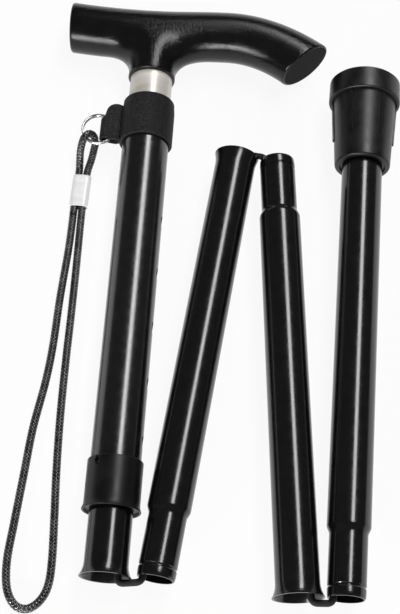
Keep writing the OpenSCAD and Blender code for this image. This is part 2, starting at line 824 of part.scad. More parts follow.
module upper_anchor() {
    color("#303034") lay_upper() anchor_plug(anchor_depth) cord_hole(cord_offset);
}
module upper_knot() {
    color("black") lay_upper() cord_knot(cord_offset, anchor_depth + anchor_length);
}
module cord_upper() {
    lay_upper() elastic(cord_offset, bend_reach, anchor_depth + anchor_length);
}

module bend_ab() {
    half_bend(upper_mouth, upper_lean, cord_offset, pole_ab);
}
module bend_ba() {
    half_bend(second_end, second_lean, -cord_offset, pole_ab);
}
module lead_ab() {
    lay_second() elastic(-cord_offset, bend_reach, bend_reach + lead_length);
}
module second_tube() {
    color("#0b0b0d") lay_second() socket_section(second_length, second_lip_r);
}
module cord_second() {
    elastic_cross(
        second_end, second_lean, -cord_offset,
        bend_reach + lead_length, second_length - bend_reach - lead_length
    );
}

module lead_bc() {
    lay_second() elastic(cord_offset, second_length - bend_reach - lead_length, second_length - bend_reach);
}
module bend_bc() {
    half_bend(second_mouth, second_lean + 180, -cord_offset, pole_bc);
}
module bend_cb() {
    half_bend(third_end, third_lean + 180, cord_offset, pole_bc);
}
module third_tube() {
    color("#0b0b0d") lay_third() socket_section(third_length, lip_r);
}
module cord_third() {
    elastic_cross(
        third_end, third_lean + 180, cord_offset,
        bend_reach, third_length - bend_reach - lead_length
    );
}

module lead_cd() {
    lay_third() elastic(-cord_offset, third_length - bend_reach - lead_length, third_length - bend_reach);
}
module bend_cd() {
    half_bend(third_mouth, third_lean, cord_offset, pole_cd);
}
module bend_dc() {
    half_bend(bottom_end, bottom_lean, -cord_offset, pole_cd);
}
module bottom_tube() {
    color("#0b0b0d")
        lay_bottom() plug_tube([[tube_r, bottom_tube_length]], [[bore_r, bottom_tube_length]]);
}
module cord_bottom() {
    lay_bottom() elastic(-cord_offset, bend_reach, lower_anchor_base + anchor_length);
}
module lower_anchor() {
    color("#303034") lay_bottom() anchor_plug(lower_anchor_base) cord_hole(-cord_offset);
}
module lower_knot() {
    color("black") lay_bottom() cord_knot(-cord_offset, lower_anchor_base + anchor_length);
}

module tip_washer() {
    color("silver")
        lay_bottom() translate([0, 0, bottom_tube_length]) cylinder(r = tube_r, h = washer_t);
}

// Rubber foot: ground face up at tip_top, open lip down the tube
module rubber_tip() {
    lip_z = tip_top - tip_height;
    base_z = tip_top - tip_base_h;
    roll = 1.3;
    edge = 0.9;
    ledge = 1.1;
    taper = atan((skirt_r - skirt_lip_r) / (base_z - lip_z - roll));
    pad_r = tread_pad_r;
    ring_r = pad_r + tread_groove_w + tread_ring_w;
    tread = [pad_r, pad_r + tread_groove_w, ring_r, ring_r + tread_groove_w];
    color("#131315")
        lay_bottom() {
            rotate_extrude()
                polygon(concat(
                    [
                        [tube_r, lip_z + ledge], [tube_r + ledge, lip_z + ledge],
                        [tube_r + ledge + 0.3, lip_z], [skirt_lip_r - roll, lip_z]
                    ],
                    [
                        for (i = [1 : 5])
                        [skirt_lip_r - roll + roll * sin(18 * i), lip_z + roll - roll * cos(18 * i)]
                    ],
                    [[skirt_r, base_z]],
                    [
                        for (a = [0 : 22.5 : 90])
                        [tip_r - edge + edge * sin(a), base_z + edge - edge * cos(a)]
                    ],
                    [[tip_r - 0.2, tip_top - 0.9], [tip_r - 1.1, tip_top]],
                    [
                        for (i = [3 : -1 : 0])
                        each (i % 2 == 1
                            ? [[tread[i], tip_top], [tread[i], tip_top - tread_depth]]
                            : [[tread[i], tip_top - tread_depth], [tread[i], tip_top]])
                    ],
                    [[0, tip_top], [0, tip_top - tip_floor], [tube_r, tip_top - tip_floor]]
                ));
            for (i = [0 : rib_count - 1])
                rotate([0, 0, 360 * (i + 0.5) / rib_count - 90])
                    translate([skirt_r, 0, base_z]) rotate([0, taper, 0]) {
                        translate([-1, -rib_w / 2, -rib_length]) cube([1 + rib_h, rib_w, rib_length]);
                        translate([-1, 0, -rib_length]) rotate([0, 90, 0])
                            cylinder(d = rib_w, h = 1 + rib_h);
                    }
        }
}

handle();
handle_stem();
ferrule();
handle_rivet();
upper_tube();
strap_band();
split_ring();
crimp_sleeve();
wrist_cord();
locking_collar();
inner_tube();
glide_bush();
snap_button();
button_spring();
upper_anchor();
upper_knot();
cord_upper();
bend_ab();
bend_ba();
lead_ab();
second_tube();
cord_second();
lead_bc();
bend_bc();
bend_cb();
third_tube();
cord_third();
lead_cd();
bend_cd();
bend_dc();
bottom_tube();
cord_bottom();
lower_anchor();
lower_knot();
tip_washer();
rubber_tip();
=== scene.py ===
"""Dressed scene of a folding cane that lies folded in a flat zigzag.

Lengths are in millimetres until Section.place turns them into the frame's metres. Each section of the cane
has its own upright frame: x to its right, z along its axis from its mouth or plug end, -y up off the table.
The camera, the lamps and the depths of relief are in metres.
"""
import logging
import math
from dataclasses import dataclass, field
from enum import Enum

import bmesh
import bpy
import numpy as np
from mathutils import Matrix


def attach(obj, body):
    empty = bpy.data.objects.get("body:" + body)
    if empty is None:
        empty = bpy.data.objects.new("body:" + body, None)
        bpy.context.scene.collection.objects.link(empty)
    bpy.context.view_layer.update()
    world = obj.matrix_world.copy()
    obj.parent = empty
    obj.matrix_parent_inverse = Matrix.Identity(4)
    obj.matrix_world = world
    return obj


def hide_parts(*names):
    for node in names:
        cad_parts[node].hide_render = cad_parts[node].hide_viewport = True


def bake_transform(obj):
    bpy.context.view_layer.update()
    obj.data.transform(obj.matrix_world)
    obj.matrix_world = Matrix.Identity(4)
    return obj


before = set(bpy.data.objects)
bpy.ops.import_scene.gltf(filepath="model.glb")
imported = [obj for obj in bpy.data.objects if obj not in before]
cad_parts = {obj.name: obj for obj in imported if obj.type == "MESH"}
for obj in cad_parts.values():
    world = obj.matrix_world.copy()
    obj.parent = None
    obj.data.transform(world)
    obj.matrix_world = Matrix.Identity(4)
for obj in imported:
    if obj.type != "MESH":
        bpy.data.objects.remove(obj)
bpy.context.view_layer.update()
MM = 0.001
MERGE_WITHIN = 2e-6
SLIVER_WITHIN = 1e-7
SPAN_STEPS = 24
LOG = logging.getLogger("cane")
Array = np.ndarray
Pair = tuple[float, float]
Triple = tuple[float, float, float]
Tree = bpy.types.NodeTree
Socket = bpy.types.NodeSocket
Piece = bpy.types.Object


def combine(tree: Tree, operation: str, first: Socket, second: Socket | float) -> Socket:
    """Maths node on two values of a node tree.

    Args:
        tree: the node tree.
        operation: the maths node's operation.
        first: the first value.
        second: the second value, another socket or a constant.

    Returns:
        A value socket with the result.
    """
    node = tree.nodes.new("ShaderNodeMath")
    node.operation = operation
    tree.links.new(first, node.inputs[0])
    if isinstance(second, float):
        node.inputs[1].default_value = second
    else:
        tree.links.new(second, node.inputs[1])
    return node.outputs["Value"]


def put(name: str, data: bpy.types.ID) -> Piece:
    """A new object of the scene with the data, at the origin."""
    made = bpy.data.objects.new(name, data)
    bpy.context.scene.collection.objects.link(made)
    return made


class Pattern(Enum):
    """Surface structure of a finish."""

    COATING = "sprayed coating with a faint orange peel"
    GRAIN = "fine moulded grain"
    TURNED = "fine lines round the axis"
    DRAWN = "fine lines along the axis"
    MOULDED = "smooth moulding with faint flow marks"
    RUBBER = "matt rubber with fine pits"
    WOVEN = "plain weave on the piece's own map"
    BRAID = "diagonal threads on the piece's own map"


@dataclass(frozen=True)
class Finish:
    """Procedural finish: two tones, a roughness range and a relief pattern.

    Along one unit of the pattern's coordinates, a noise has about as many features as the scale says, and
    threads number 20 * scale / (2 * pi). One value sets tone and roughness: the two tones lie at the ends of
    crest on it, the two roughnesses at those of rough_between.
    """

    name: str
    pattern: Pattern
    dark: Triple
    light: Triple
    rough: Pair
    scale: float
    relief: float
    depth: float
    metallic: float = 0.0
    specular: float = 0.5
    sheen: float = 0.0
    sheen_rough: float = 0.4
    lean: float = 0.0
    wear: float = 0.0
    crest: Pair = (0.3, 0.75)
    rough_between: Pair = (0.3, 0.7)
    waver: float = 0.6
    waver_scale: float = 2.0
    fine_octaves: float = 3.0
    broad_octaves: float = 5.0
    broad_share: float = 0.12
    line_share: float = 0.02

    @property
    def woven(self) -> bool:
        """Whether the pattern is made of threads on the piece's own map."""
        return self.pattern in (Pattern.WOVEN, Pattern.BRAID)

    def _coordinates(self, tree: Tree) -> Socket:
        """Coordinates of the pattern.

        Args:
            tree: the material's node tree.

        Returns:
            A vector socket: the piece's own map, or object coordinates turned to the section's axis.
        """
        if self.woven:
            own = tree.nodes.new("ShaderNodeUVMap")
            own.uv_map = "weave"
            return own.outputs["UV"]
        where = tree.nodes.new("ShaderNodeTexCoord")
        turn = tree.nodes.new("ShaderNodeMapping")
        turn.inputs["Rotation"].default_value = (0.0, 0.0, math.radians(self.lean))
        stretch = {Pattern.TURNED: (self.line_share, 1.0, self.line_share),
                   Pattern.DRAWN: (1.0, self.line_share, 1.0)}
        turn.inputs["Scale"].default_value = stretch.get(self.pattern, (1.0, 1.0, 1.0))
        tree.links.new(where.outputs["Object"], turn.inputs["Vector"])
        return turn.outputs["Vector"]

    def _threads(self, tree: Tree, vector: Socket) -> Socket:
        """Height of a woven surface: the higher of two crossing sets of round threads.

        Args:
            tree: the material's node tree.
            vector: the pattern's coordinates.

        Returns:
            A value socket with the threads' height.
        """
        heights = []
        for angle in (0.0, 90.0) if self.pattern is Pattern.WOVEN else (45.0, -45.0):
            turn = tree.nodes.new("ShaderNodeMapping")
            turn.inputs["Rotation"].default_value = (0.0, 0.0, math.radians(angle))
            tree.links.new(vector, turn.inputs["Vector"])
            wave = tree.nodes.new("ShaderNodeTexWave")
            wave.wave_profile = "SIN"
            wave.inputs["Scale"].default_value = self.scale
            wave.inputs["Distortion"].default_value = self.waver
            wave.inputs["Detail Scale"].default_value = self.waver_scale
            tree.links.new(turn.outputs["Vector"], wave.inputs["Vector"])
            heights.append(wave.outputs["Fac"])
        return combine(tree, "MAXIMUM", *heights)

    def _noise(self, tree: Tree, vector: Socket, scale: float, octaves: float) -> Socket:
        """Fractal noise on the pattern's coordinates.

        Args:
            tree: the material's node tree.
            vector: the pattern's coordinates.
            scale: features along one unit of the coordinates.
            octaves: octaves of finer noise.

        Returns:
            A value socket with the noise.
        """
        noise = tree.nodes.new("ShaderNodeTexNoise")
        noise.inputs["Scale"].default_value = scale
        noise.inputs["Detail"].default_value = octaves
        tree.links.new(vector, noise.inputs["Vector"])
        return noise.outputs["Fac"]

    def material(self) -> bpy.types.Material:
        """The finish as a material, made once and shared."""
        made = bpy.data.materials.get(self.name)
        return made if made and made.get("dressed") else self._build()

    def _build(self) -> bpy.types.Material:
        """Builds the nodes: the relief follows the threads or a fine noise, and tone and roughness follow a
        broad noise, which on a woven finish is multiplied by the threads' height.

        Returns:
            The new material.
        """
        made = bpy.data.materials.new(self.name)
        made["dressed"] = True
        made.use_nodes = True
        tree = made.node_tree
        shader = tree.nodes["Principled BSDF"]
        vector = self._coordinates(tree)
        if self.woven:
            height = self._threads(tree, vector)
            worn = self._noise(tree, vector, self.wear, self.broad_octaves)
            # On a woven finish the tone follows the threads' height: a painted highlight on the crests and
            # painted shade in the hollows between threads. The broad noise that it is multiplied by is real
            # patchiness.
            tone = combine(tree, "MULTIPLY", height, worn)
        else:
            height = self._noise(tree, vector, self.scale, self.fine_octaves)
            tone = self._noise(tree, vector, self.scale * self.broad_share, self.broad_octaves)
        ramp = tree.nodes.new("ShaderNodeValToRGB")
        for stop, place, colour in zip(ramp.color_ramp.elements, self.crest, (self.dark, self.light)):
            stop.position = place
            stop.color = (*colour, 1.0)
        tree.links.new(tone, ramp.inputs["Fac"])
        tree.links.new(ramp.outputs["Color"], shader.inputs["Base Color"])
        rough = tree.nodes.new("ShaderNodeMapRange")
        for end, ends in (("From", self.rough_between), ("To", self.rough)):
            rough.inputs[f"{end} Min"].default_value = ends[0]
            rough.inputs[f"{end} Max"].default_value = ends[1]
        tree.links.new(tone, rough.inputs["Value"])
        tree.links.new(rough.outputs["Result"], shader.inputs["Roughness"])
        bump = tree.nodes.new("ShaderNodeBump")
        bump.inputs["Strength"].default_value = self.relief
        bump.inputs["Distance"].default_value = self.depth
        tree.links.new(height, bump.inputs["Height"])
        tree.links.new(bump.outputs["Normal"], shader.inputs["Normal"])
        for socket, value in {
            "Metallic": self.metallic, "Specular IOR Level": self.specular, "Sheen Weight": self.sheen,
            "Sheen Roughness": self.sheen_rough,
        }.items():
            shader.inputs[socket].default_value = value
        return made


GRIP = Finish("grip_black", Pattern.GRAIN, (0.004, 0.004, 0.0042), (0.007, 0.007, 0.0073), (0.12, 0.16),
              scale=1050.0, relief=1.0, depth=0.00018, specular=0.34)
# The oval end's smooth moulding is real, but its darker tone and almost missing reflection are painted shade.
NOSE_PAINTED_SHADE = Finish("grip_end_painted_shade", Pattern.MOULDED, (0.003, 0.003, 0.0032), (0.006, 0.006, 0.0063), (0.35, 0.45),
              scale=700.0, relief=0.15, depth=0.00005, specular=0.03)
OUTER = Finish("outer_tube_black", Pattern.COATING, (0.004, 0.004, 0.0044), (0.006, 0.006, 0.0066),
               (0.18, 0.25), scale=2400.0, relief=0.35, depth=0.00005, specular=1.0)
TUBE = Finish("tube_gloss_black", Pattern.COATING, (0.003, 0.003, 0.0033), (0.005, 0.005, 0.0055),
              (0.15, 0.21), scale=2400.0, relief=0.25, depth=0.00004, specular=0.7)
COLLAR = Finish("collar_black", Pattern.MOULDED, (0.004, 0.004, 0.0043), (0.008, 0.008, 0.0085), (0.30, 0.42),
                scale=900.0, relief=0.2, depth=0.00005, specular=0.3)
FOOT = Finish("foot_rubber", Pattern.RUBBER, (0.004, 0.004, 0.0042), (0.008, 0.008, 0.0083), (0.32, 0.44),
              scale=1500.0, relief=0.22, depth=0.00006, specular=0.42)
# The ferrule and rivet are champagne metal. Their hue is their own, but their light tone on a mostly
# unmetallic surface paints in their reflection of the bright surroundings.
POLISHED_PAINTED_REFLECTION = Finish("ferrule_painted_reflection", Pattern.TURNED, (0.68, 0.64, 0.57), (0.86, 0.82, 0.76), (0.28, 0.4),
                  scale=3000.0, relief=0.05, depth=0.00002, metallic=0.2, lean=3.7)
WIRE = Finish("ring_steel", Pattern.DRAWN, (0.42, 0.42, 0.43), (0.74, 0.74, 0.75), (0.12, 0.24),
              scale=2500.0, relief=0.05, depth=0.00002, metallic=1.0)
# The crimp sleeve is light metal, but its near-white tone on an almost unmetallic surface is a painted
# reflection of the bright surroundings.
SLEEVE_PAINTED_REFLECTION = Finish("crimp_painted_reflection", Pattern.DRAWN, (0.94, 0.94, 0.95), (0.99, 0.99, 0.99), (0.25, 0.4),
                scale=2200.0, relief=0.08, depth=0.00003, metallic=0.05, lean=5.1)
STEM = Finish("stem_turned", Pattern.TURNED, (0.52, 0.52, 0.53), (0.74, 0.74, 0.75), (0.25, 0.4),
              scale=2600.0, relief=0.1, depth=0.00003, metallic=1.0, lean=3.7)
STEEL = Finish("spring_steel", Pattern.DRAWN, (0.20, 0.20, 0.21), (0.42, 0.42, 0.43), (0.22, 0.38),
               scale=2200.0, relief=0.08, depth=0.00003, metallic=1.0, lean=3.7)
BUSH = Finish("bush_white", Pattern.MOULDED, (0.62, 0.62, 0.60), (0.74, 0.74, 0.72), (0.35, 0.5),
              scale=900.0, relief=0.1, depth=0.00004)
ANCHOR = Finish("anchor_black", Pattern.MOULDED, (0.03, 0.03, 0.032), (0.055, 0.055, 0.058), (0.4, 0.55),
                scale=900.0, relief=0.15, depth=0.00005)
# The woven finishes below put their light tone on the thread crests and their dark tone in the hollows:
# painted highlight on the crests, painted shade between the threads.
WEBBING = Finish("strap_webbing", Pattern.WOVEN, (0.001, 0.001, 0.0011), (0.045, 0.045, 0.046), (0.5, 0.75),
                 scale=0.314, relief=0.6, depth=0.0002, specular=0.3, wear=0.5)
# The braid's light crest tone is a painted highlight that stands for the glints on the cord's strands.
BRAID = Finish("wrist_braid", Pattern.BRAID, (0.002, 0.002, 0.0022), (0.110, 0.110, 0.112), (0.22, 0.34),
               scale=0.889, relief=0.3, depth=0.0001, specular=1.0, wear=0.9, crest=(0.35, 0.7))
ELASTIC = Finish("elastic_cover", Pattern.BRAID, (0.004, 0.004, 0.0045), (0.016, 0.016, 0.017), (0.6, 0.8),
                 scale=0.889, relief=0.5, depth=0.0001, specular=0.35, sheen=0.1, wear=0.9)
THREAD = Finish("stitch_thread", Pattern.BRAID, (0.008, 0.008, 0.009), (0.045, 0.045, 0.048), (0.4, 0.6),
                scale=2.0, relief=0.4, depth=0.00005, sheen=0.2, wear=1.5)


def unit(vectors: Array) -> Array:
    """The vectors divided by their lengths."""
    return vectors / np.linalg.norm(vectors, axis=-1, keepdims=True)


def ease(share: Array) -> Array:
    """Smooth step from 0 to 1: three times the square minus twice the cube."""
    s = np.clip(share, 0.0, 1.0)
    return s * s * (3.0 - 2.0 * s)


def mix(first: Array, second: Array, share: Array) -> Array:
    """The point that lies a share of the way from the first to the second."""
    return first + (second - first) * share


def around(sides: int) -> Array:
    """Angles of a full turn in equal steps."""
    return 2 * np.pi * np.arange(sides) / sides


def circle(turn: Array) -> Array:
    """Points of the unit circle at the angles."""
    return np.stack([np.cos(turn), np.sin(turn)], axis=-1)


def bow(first: Array, corner: Array, last: Array, share: Array) -> Array:
    """Quadratic curve from the first point to the last that starts and ends towards the corner."""
    return (1 - share) ** 2 * first + 2 * share * (1 - share) * corner + share**2 * last


def even_path(points: Array, step: float) -> Array:
    """Points spaced evenly along a polyline.

    Args:
        points: the polyline, one row a point.
        step: wanted distance between neighbours.

    Returns:
        The polyline's points at equal shares of its length.
    """
    run = np.concatenate([[0.0], np.cumsum(np.linalg.norm(np.diff(points, axis=0), axis=1))])
    at = np.linspace(0.0, run[-1], max(2, round(run[-1] / step) + 1))
    return np.stack([np.interp(at, run, points[:, k]) for k in range(3)], axis=1)


def curve_through(points: Array, step: float) -> Array:
    """Smooth curve through points: on each span the cubic whose end slopes are half its neighbours' distance.

    Args:
        points: the points, one row each.
        step: distance between neighbours on the result.

    Returns:
        Evenly spaced points of the curve.
    """
    p = np.vstack([points[:1], points, points[-1:]])
    a, b, c, d = (p[k:len(p) - 3 + k, None, :] for k in range(4))
    s = np.linspace(0.0, 1.0, SPAN_STEPS, endpoint=False)[None, :, None]
    cubic = 0.5 * (2 * b + (c - a) * s + (2 * a - 5 * b + 4 * c - d) * s**2 + (3 * b - a - 3 * c + d) * s**3)
    return even_path(np.vstack([cubic.reshape(-1, 3), points[-1:]]), step)


def grid_quads(rows: int, cols: int, close_rows: bool = False,
               close_cols: bool = False) -> tuple[Array, Array]:
    """Quads of a grid of points, with a map that counts rows and columns.

    Args:
        rows: number of rows.
        cols: number of columns.
        close_rows: join the last row to the first.
        close_cols: join the last column to the first.

    Returns:
        Point indices of each quad, and the row and column of each quad's corners.
    """
    i, j = np.meshgrid(np.arange(rows - (not close_rows)), np.arange(cols - (not close_cols)), indexing="ij")
    corners = np.stack([np.stack([i + di, j + dj], axis=-1) for di, dj in ((0, 0), (1, 0), (1, 1), (0, 1))],
                       axis=-2).reshape(-1, 4, 2)
    index = (corners[..., 0] % rows) * cols + corners[..., 1] % cols
    return index, corners.astype(float)


def carry(path: Array, section: Array, up: Triple = (0.0, 0.0, 1.0)) -> Array:
    """A section carried along a path: each ring is the path's point plus the section's two coordinates along
    the side (tangent cross up) and the lifted up direction (side cross tangent).

    Args:
        path: the path's points.
        section: the section's points, one ring or one for each point of the path.
        up: direction that the section's second coordinate leans towards.

    Returns:
        Points as rows of rings.
    """
    along = unit(np.gradient(path, axis=0))
    side = unit(np.cross(along, np.array(up)))
    lift = np.cross(side, along)
    return path[:, None] + section[..., :1] * side[:, None] + section[..., 1:] * lift[:, None]


def make_piece(name: str, points: Array, quads: Array, marks: Array, finish: Finish,
               sharp: float = 180.0) -> Piece:
    """A mesh piece with its own map, its doubles merged and its faces turned outwards.

    Args:
        name: the piece's name.
        points: its points in metres, in any array shape that ends in three coordinates.
        quads: point indices of its faces.
        marks: map coordinates of each face's corners.
        finish: its finish.
        sharp: angle in degrees from which an edge shades as sharp.

    Returns:
        The new object, at the origin.
    """
    mesh = bpy.data.meshes.new(name)
    mesh.from_pydata(points.reshape(-1, 3).tolist(), [], quads.tolist())
    mesh.uv_layers.new(name="weave").data.foreach_set("uv", marks.astype(np.float32).ravel())
    work = bmesh.new()
    work.from_mesh(mesh)
    bmesh.ops.remove_doubles(work, verts=work.verts, dist=MERGE_WITHIN)
    bmesh.ops.dissolve_degenerate(work, edges=work.edges, dist=SLIVER_WITHIN)
    bmesh.ops.recalc_face_normals(work, faces=work.faces)
    work.to_mesh(mesh)
    work.free()
    mesh.polygons.foreach_set("use_smooth", np.ones(len(mesh.polygons), bool))
    if sharp < 180.0:
        mesh.set_sharp_from_angle(angle=math.radians(sharp))
    mesh.materials.append(finish.material())
    return put(name, mesh)


@dataclass(frozen=True)
class Section:
    """Upright frame of a lying section: a point on its axis, its lean to the right and the axis's height."""

    x: float
    y: float
    lean: float
    plane: float = 17.2

    def heading(self) -> Array:
        """Direction of the section's axis on the table."""
        return np.array([math.sin(math.radians(self.lean)), math.cos(math.radians(self.lean))])

    def place(self, points: Array) -> Array:
        """Points of the section's frame in the object's frame.

        Args:
            points: local points in millimetres.

        Returns:
            The same points in the object's frame, in metres.
        """
        c, s = math.cos(math.radians(self.lean)), math.sin(math.radians(self.lean))
        u, v, w = (points[..., k] for k in range(3))
        return MM * np.stack([self.x + u * c + w * s, self.y - u * s + w * c, self.plane - v], axis=-1)

    def spot(self, height: float, offset: float) -> Array:
        """Point of the section's middle plane in the object's frame, in millimetres."""
        return self.place(np.array([offset, 0.0, height])) / MM

    def off_axis(self, point: Array) -> float:
        """Distance of a point from the section's axis, across the table."""
        h = self.heading()
        return abs(float((point[0] - self.x) * h[1] - (point[1] - self.y) * h[0]))


@dataclass(frozen=True)
class Layout:
    """Where the four sections, the folds' poles and the table lie."""

    tube_r: float = 9.5
    lip_r: float = 11.2
    second_lip_r: float = 10.5
    plug_r: float = 8.3
    gap: float = 0.4
    second_length: float = 206.0
    third_length: float = 208.5
    second_lean: float = 10.1
    third_lean: float = 178.9
    bottom_lean: float = 4.6
    second_drop: float = 0.7
    third_drop: float = 2.2
    bottom_drop: float = 0.5
    tip_top: float = 252.7
    tip_base: float = 11.7
    tip_r: float = 17.2
    bead_height: float = 29.9
    bead_r: float = 12.9
    band_base: float = 209.0
    band_top: float = 232.0
    band_r: float = 12.7
    cord_offset: float = 5.4
    bend_drop: float = 2.2
    bend_reach: float = 8.0
    lead_length: float = 60.0
    upper: Section = Section(x=-56.3, y=-138.4, lean=3.7)

    @property
    def second(self) -> Section:
        """The second section, from its plug end."""
        slant = math.cos(math.radians(self.second_lean - self.upper.lean))
        shift = self.lip_r + self.tube_r / slant + self.gap
        return Section(self.upper.x + shift, self.upper.y - self.second_drop, self.second_lean)

    @property
    def third(self) -> Section:
        """The third section, from its plug end towards the viewer."""
        mouth = self.second.spot(self.second_length, 0.0)
        shift = self.second_lip_r + self.plug_r + self.gap
        return Section(mouth[0] + shift, mouth[1] - self.third_drop, self.third_lean)

    @property
    def bottom(self) -> Section:
        """The bottom section, from its plug end."""
        mouth = self.third.spot(self.third_length, 0.0)
        shift = self.lip_r + self.plug_r + self.gap
        return Section(mouth[0] + shift, mouth[1] - self.bottom_drop, self.bottom_lean)

    def mouth(self, section: Section, length: float) -> Section:
        """The same section seen from its far mouth, looking back along it."""
        far = section.spot(length, 0.0)
        return Section(far[0], far[1], section.lean + 180.0)

    def pole(self, one: Section, one_offset: float, two: Section, two_offset: float) -> Array:
        """Point of the cord between two mouths that is as far from one axis as from the other.

        Args:
            one: a section seen from the mouth.
            one_offset: the cord's offset in it.
            two: the neighbouring section seen from its end.
            two_offset: the cord's offset in that one.

        Returns:
            The pole in millimetres.
        """
        a, b = one.spot(-self.bend_drop, one_offset), two.spot(-self.bend_drop, two_offset)
        grow = one.off_axis(b) - one.off_axis(a)
        fall = two.off_axis(a) - two.off_axis(b)
        return mix(a, b, (two.off_axis(a) - one.off_axis(a)) / (grow + fall))

    def table_z(self, x: Array, y: Array) -> Array:
        """Height of the table on which the cane rests: the plane under the tip's base, the collar's bead and
        the strap band.

        Args:
            x: places across the sections.
            y: places along them.

        Returns:
            The table's heights in millimetres.
        """
        tip = self.bottom.spot(self.tip_top - self.tip_base / 2, 0.0) - [0.0, 0.0, self.tip_r]
        bead = self.upper.spot(self.bead_height, 0.0) - [0.0, 0.0, self.bead_r]
        band = self.upper.spot((self.band_base + self.band_top) / 2, 0.0) - [0.0, 0.0, self.band_r]
        n = np.cross(bead - tip, band - tip)
        return tip[2] - ((x - tip[0]) * n[0] + (y - tip[1]) * n[1]) / n[2]


LAYOUT = Layout()


@dataclass
class Studio:
    """Camera, pale floor and soft light of the photograph."""

    camera_at: Triple = (-0.0166, -0.2644, 0.5778)
    target: Triple = (-0.0166, -0.0148, 0.0172)
    lens: float = 79.15
    sensor: float = 36.0
    clip: Pair = (0.02, 200.0)
    key_way: Triple = (0.27, 0.41, 0.87)
    lamp_distance: float = 1.2
    key_size: Pair = (0.3, 1.2)
    key_watts: float = 11.0
    front_ways: tuple[Triple, ...] = ((-0.234, -0.94, 0.27), (-0.026, -0.963, 0.27), (-0.5, -0.82, 0.27))
    front_size: Pair = (0.03, 0.03)
    front_watts: tuple[float, ...] = (3.6, 3.4, 5.8)
    sky: float = 0.08
    floor_tone: float = 0.9
    floor_glow: float = 0.92
    floor_sink: float = 0.05
    floor_half: float = 12000.0
    floor_flat: float = 4000.0
    rim_rise: float = 1250.0

    def set_camera(self) -> None:
        """Makes the camera at the photograph's viewpoint, level with the floor's sideways line."""
        data = bpy.data.cameras.new("camera")
        data.sensor_fit, data.sensor_width, data.lens = "AUTO", self.sensor, self.lens
        data.clip_start, data.clip_end = self.clip
        camera = put("camera", data)
        camera.location = self.camera_at
        pitch = math.atan2(self.target[1] - self.camera_at[1], self.camera_at[2] - self.target[2])
        camera.rotation_euler = (pitch, 0.0, 0.0)
        bpy.context.scene.camera = camera

    def _floor_paint(self) -> bpy.types.Material:
        """Matt white that takes the object's shadow and glows for the camera, reflections and clear pieces.

        Returns:
            The floor's material.
        """
        paint = bpy.data.materials.new("floor_white")
        paint.use_nodes = True
        tree = paint.node_tree
        shader = tree.nodes["Principled BSDF"]
        shader.inputs["Base Color"].default_value = (self.floor_tone, self.floor_tone, self.floor_tone, 1.0)
        shader.inputs["Roughness"].default_value = 1.0
        shader.inputs["Specular IOR Level"].default_value = 0.0
        glow = tree.nodes.new("ShaderNodeEmission")
        rays = tree.nodes.new("ShaderNodeLightPath")
        seen = rays.outputs["Is Camera Ray"]
        for kind in ("Is Glossy Ray", "Is Transmission Ray"):
            seen = combine(tree, "MAXIMUM", seen, rays.outputs[kind])
        both = tree.nodes.new("ShaderNodeMixShader")
        tree.links.new(combine(tree, "MULTIPLY", seen, self.floor_glow), both.inputs["Fac"])
        tree.links.new(shader.outputs["BSDF"], both.inputs[1])
        tree.links.new(glow.outputs["Emission"], both.inputs[2])
        tree.links.new(both.outputs["Shader"], tree.nodes["Material Output"].inputs["Surface"])
        return paint

    def lay_floor(self) -> None:
        """Lays the floor in the table's plane. Its rim turns up far out, so that it also fills low views."""
        corners = np.array([[-1.0, -1.0], [1.0, -1.0], [1.0, 1.0], [-1.0, 1.0]])
        side = np.vstack([self.floor_flat * corners, self.floor_half * corners])
        rise = np.repeat([0.0, self.rim_rise], len(corners))
        heights = LAYOUT.table_z(side[:, 0], side[:, 1]) - self.floor_sink + rise
        faces = [[0, 1, 2, 3]] + [[k, k + 4, (k + 1) % 4 + 4, (k + 1) % 4] for k in range(4)]
        mesh = bpy.data.meshes.new("floor")
        mesh.from_pydata((MM * np.column_stack([side, heights])).tolist(), [], faces)
        mesh.materials.append(self._floor_paint())
        floor = put("floor", mesh)

    def add_light(self) -> None:
        """Adds dim surroundings, a long soft box that draws the strip of light along the tubes, and small low
        ones in front that light what faces the viewer.
        """
        world = bpy.data.worlds.new("surroundings")
        world.use_nodes = True
        sky = world.node_tree.nodes["Background"]
        sky.inputs["Color"].default_value = (1.0, 1.0, 1.0, 1.0)
        sky.inputs["Strength"].default_value = self.sky
        bpy.context.scene.world = world
        self._soft_box("key_light", self.key_way, self.key_size, self.key_watts)
        for i, (way, watts) in enumerate(zip(self.front_ways, self.front_watts)):
            self._soft_box(f"front_light_{i + 1}", way, self.front_size, watts)
        bpy.context.scene.view_settings.view_transform = "Standard"

    def _soft_box(self, name: str, way: Triple, size: Pair, watts: float) -> None:
        """A rectangular light that faces the object, with its second side along the sections.

        Args:
            name: its name.
            way: direction from the object to it.
            size: its two sides.
            watts: its power.
        """
        data = bpy.data.lights.new(name, "AREA")
        data.shape, data.energy = "RECTANGLE", watts
        data.size, data.size_y = size
        back = unit(np.array(way))
        across = unit(np.cross([0.0, 1.0, 0.0], back))
        turned = np.eye(4)
        turned[:3, 0], turned[:3, 1], turned[:3, 2] = across, np.cross(back, across), back
        turned[:3, 3] = back * self.lamp_distance
        put(name, data).matrix_world = turned.T.tolist()


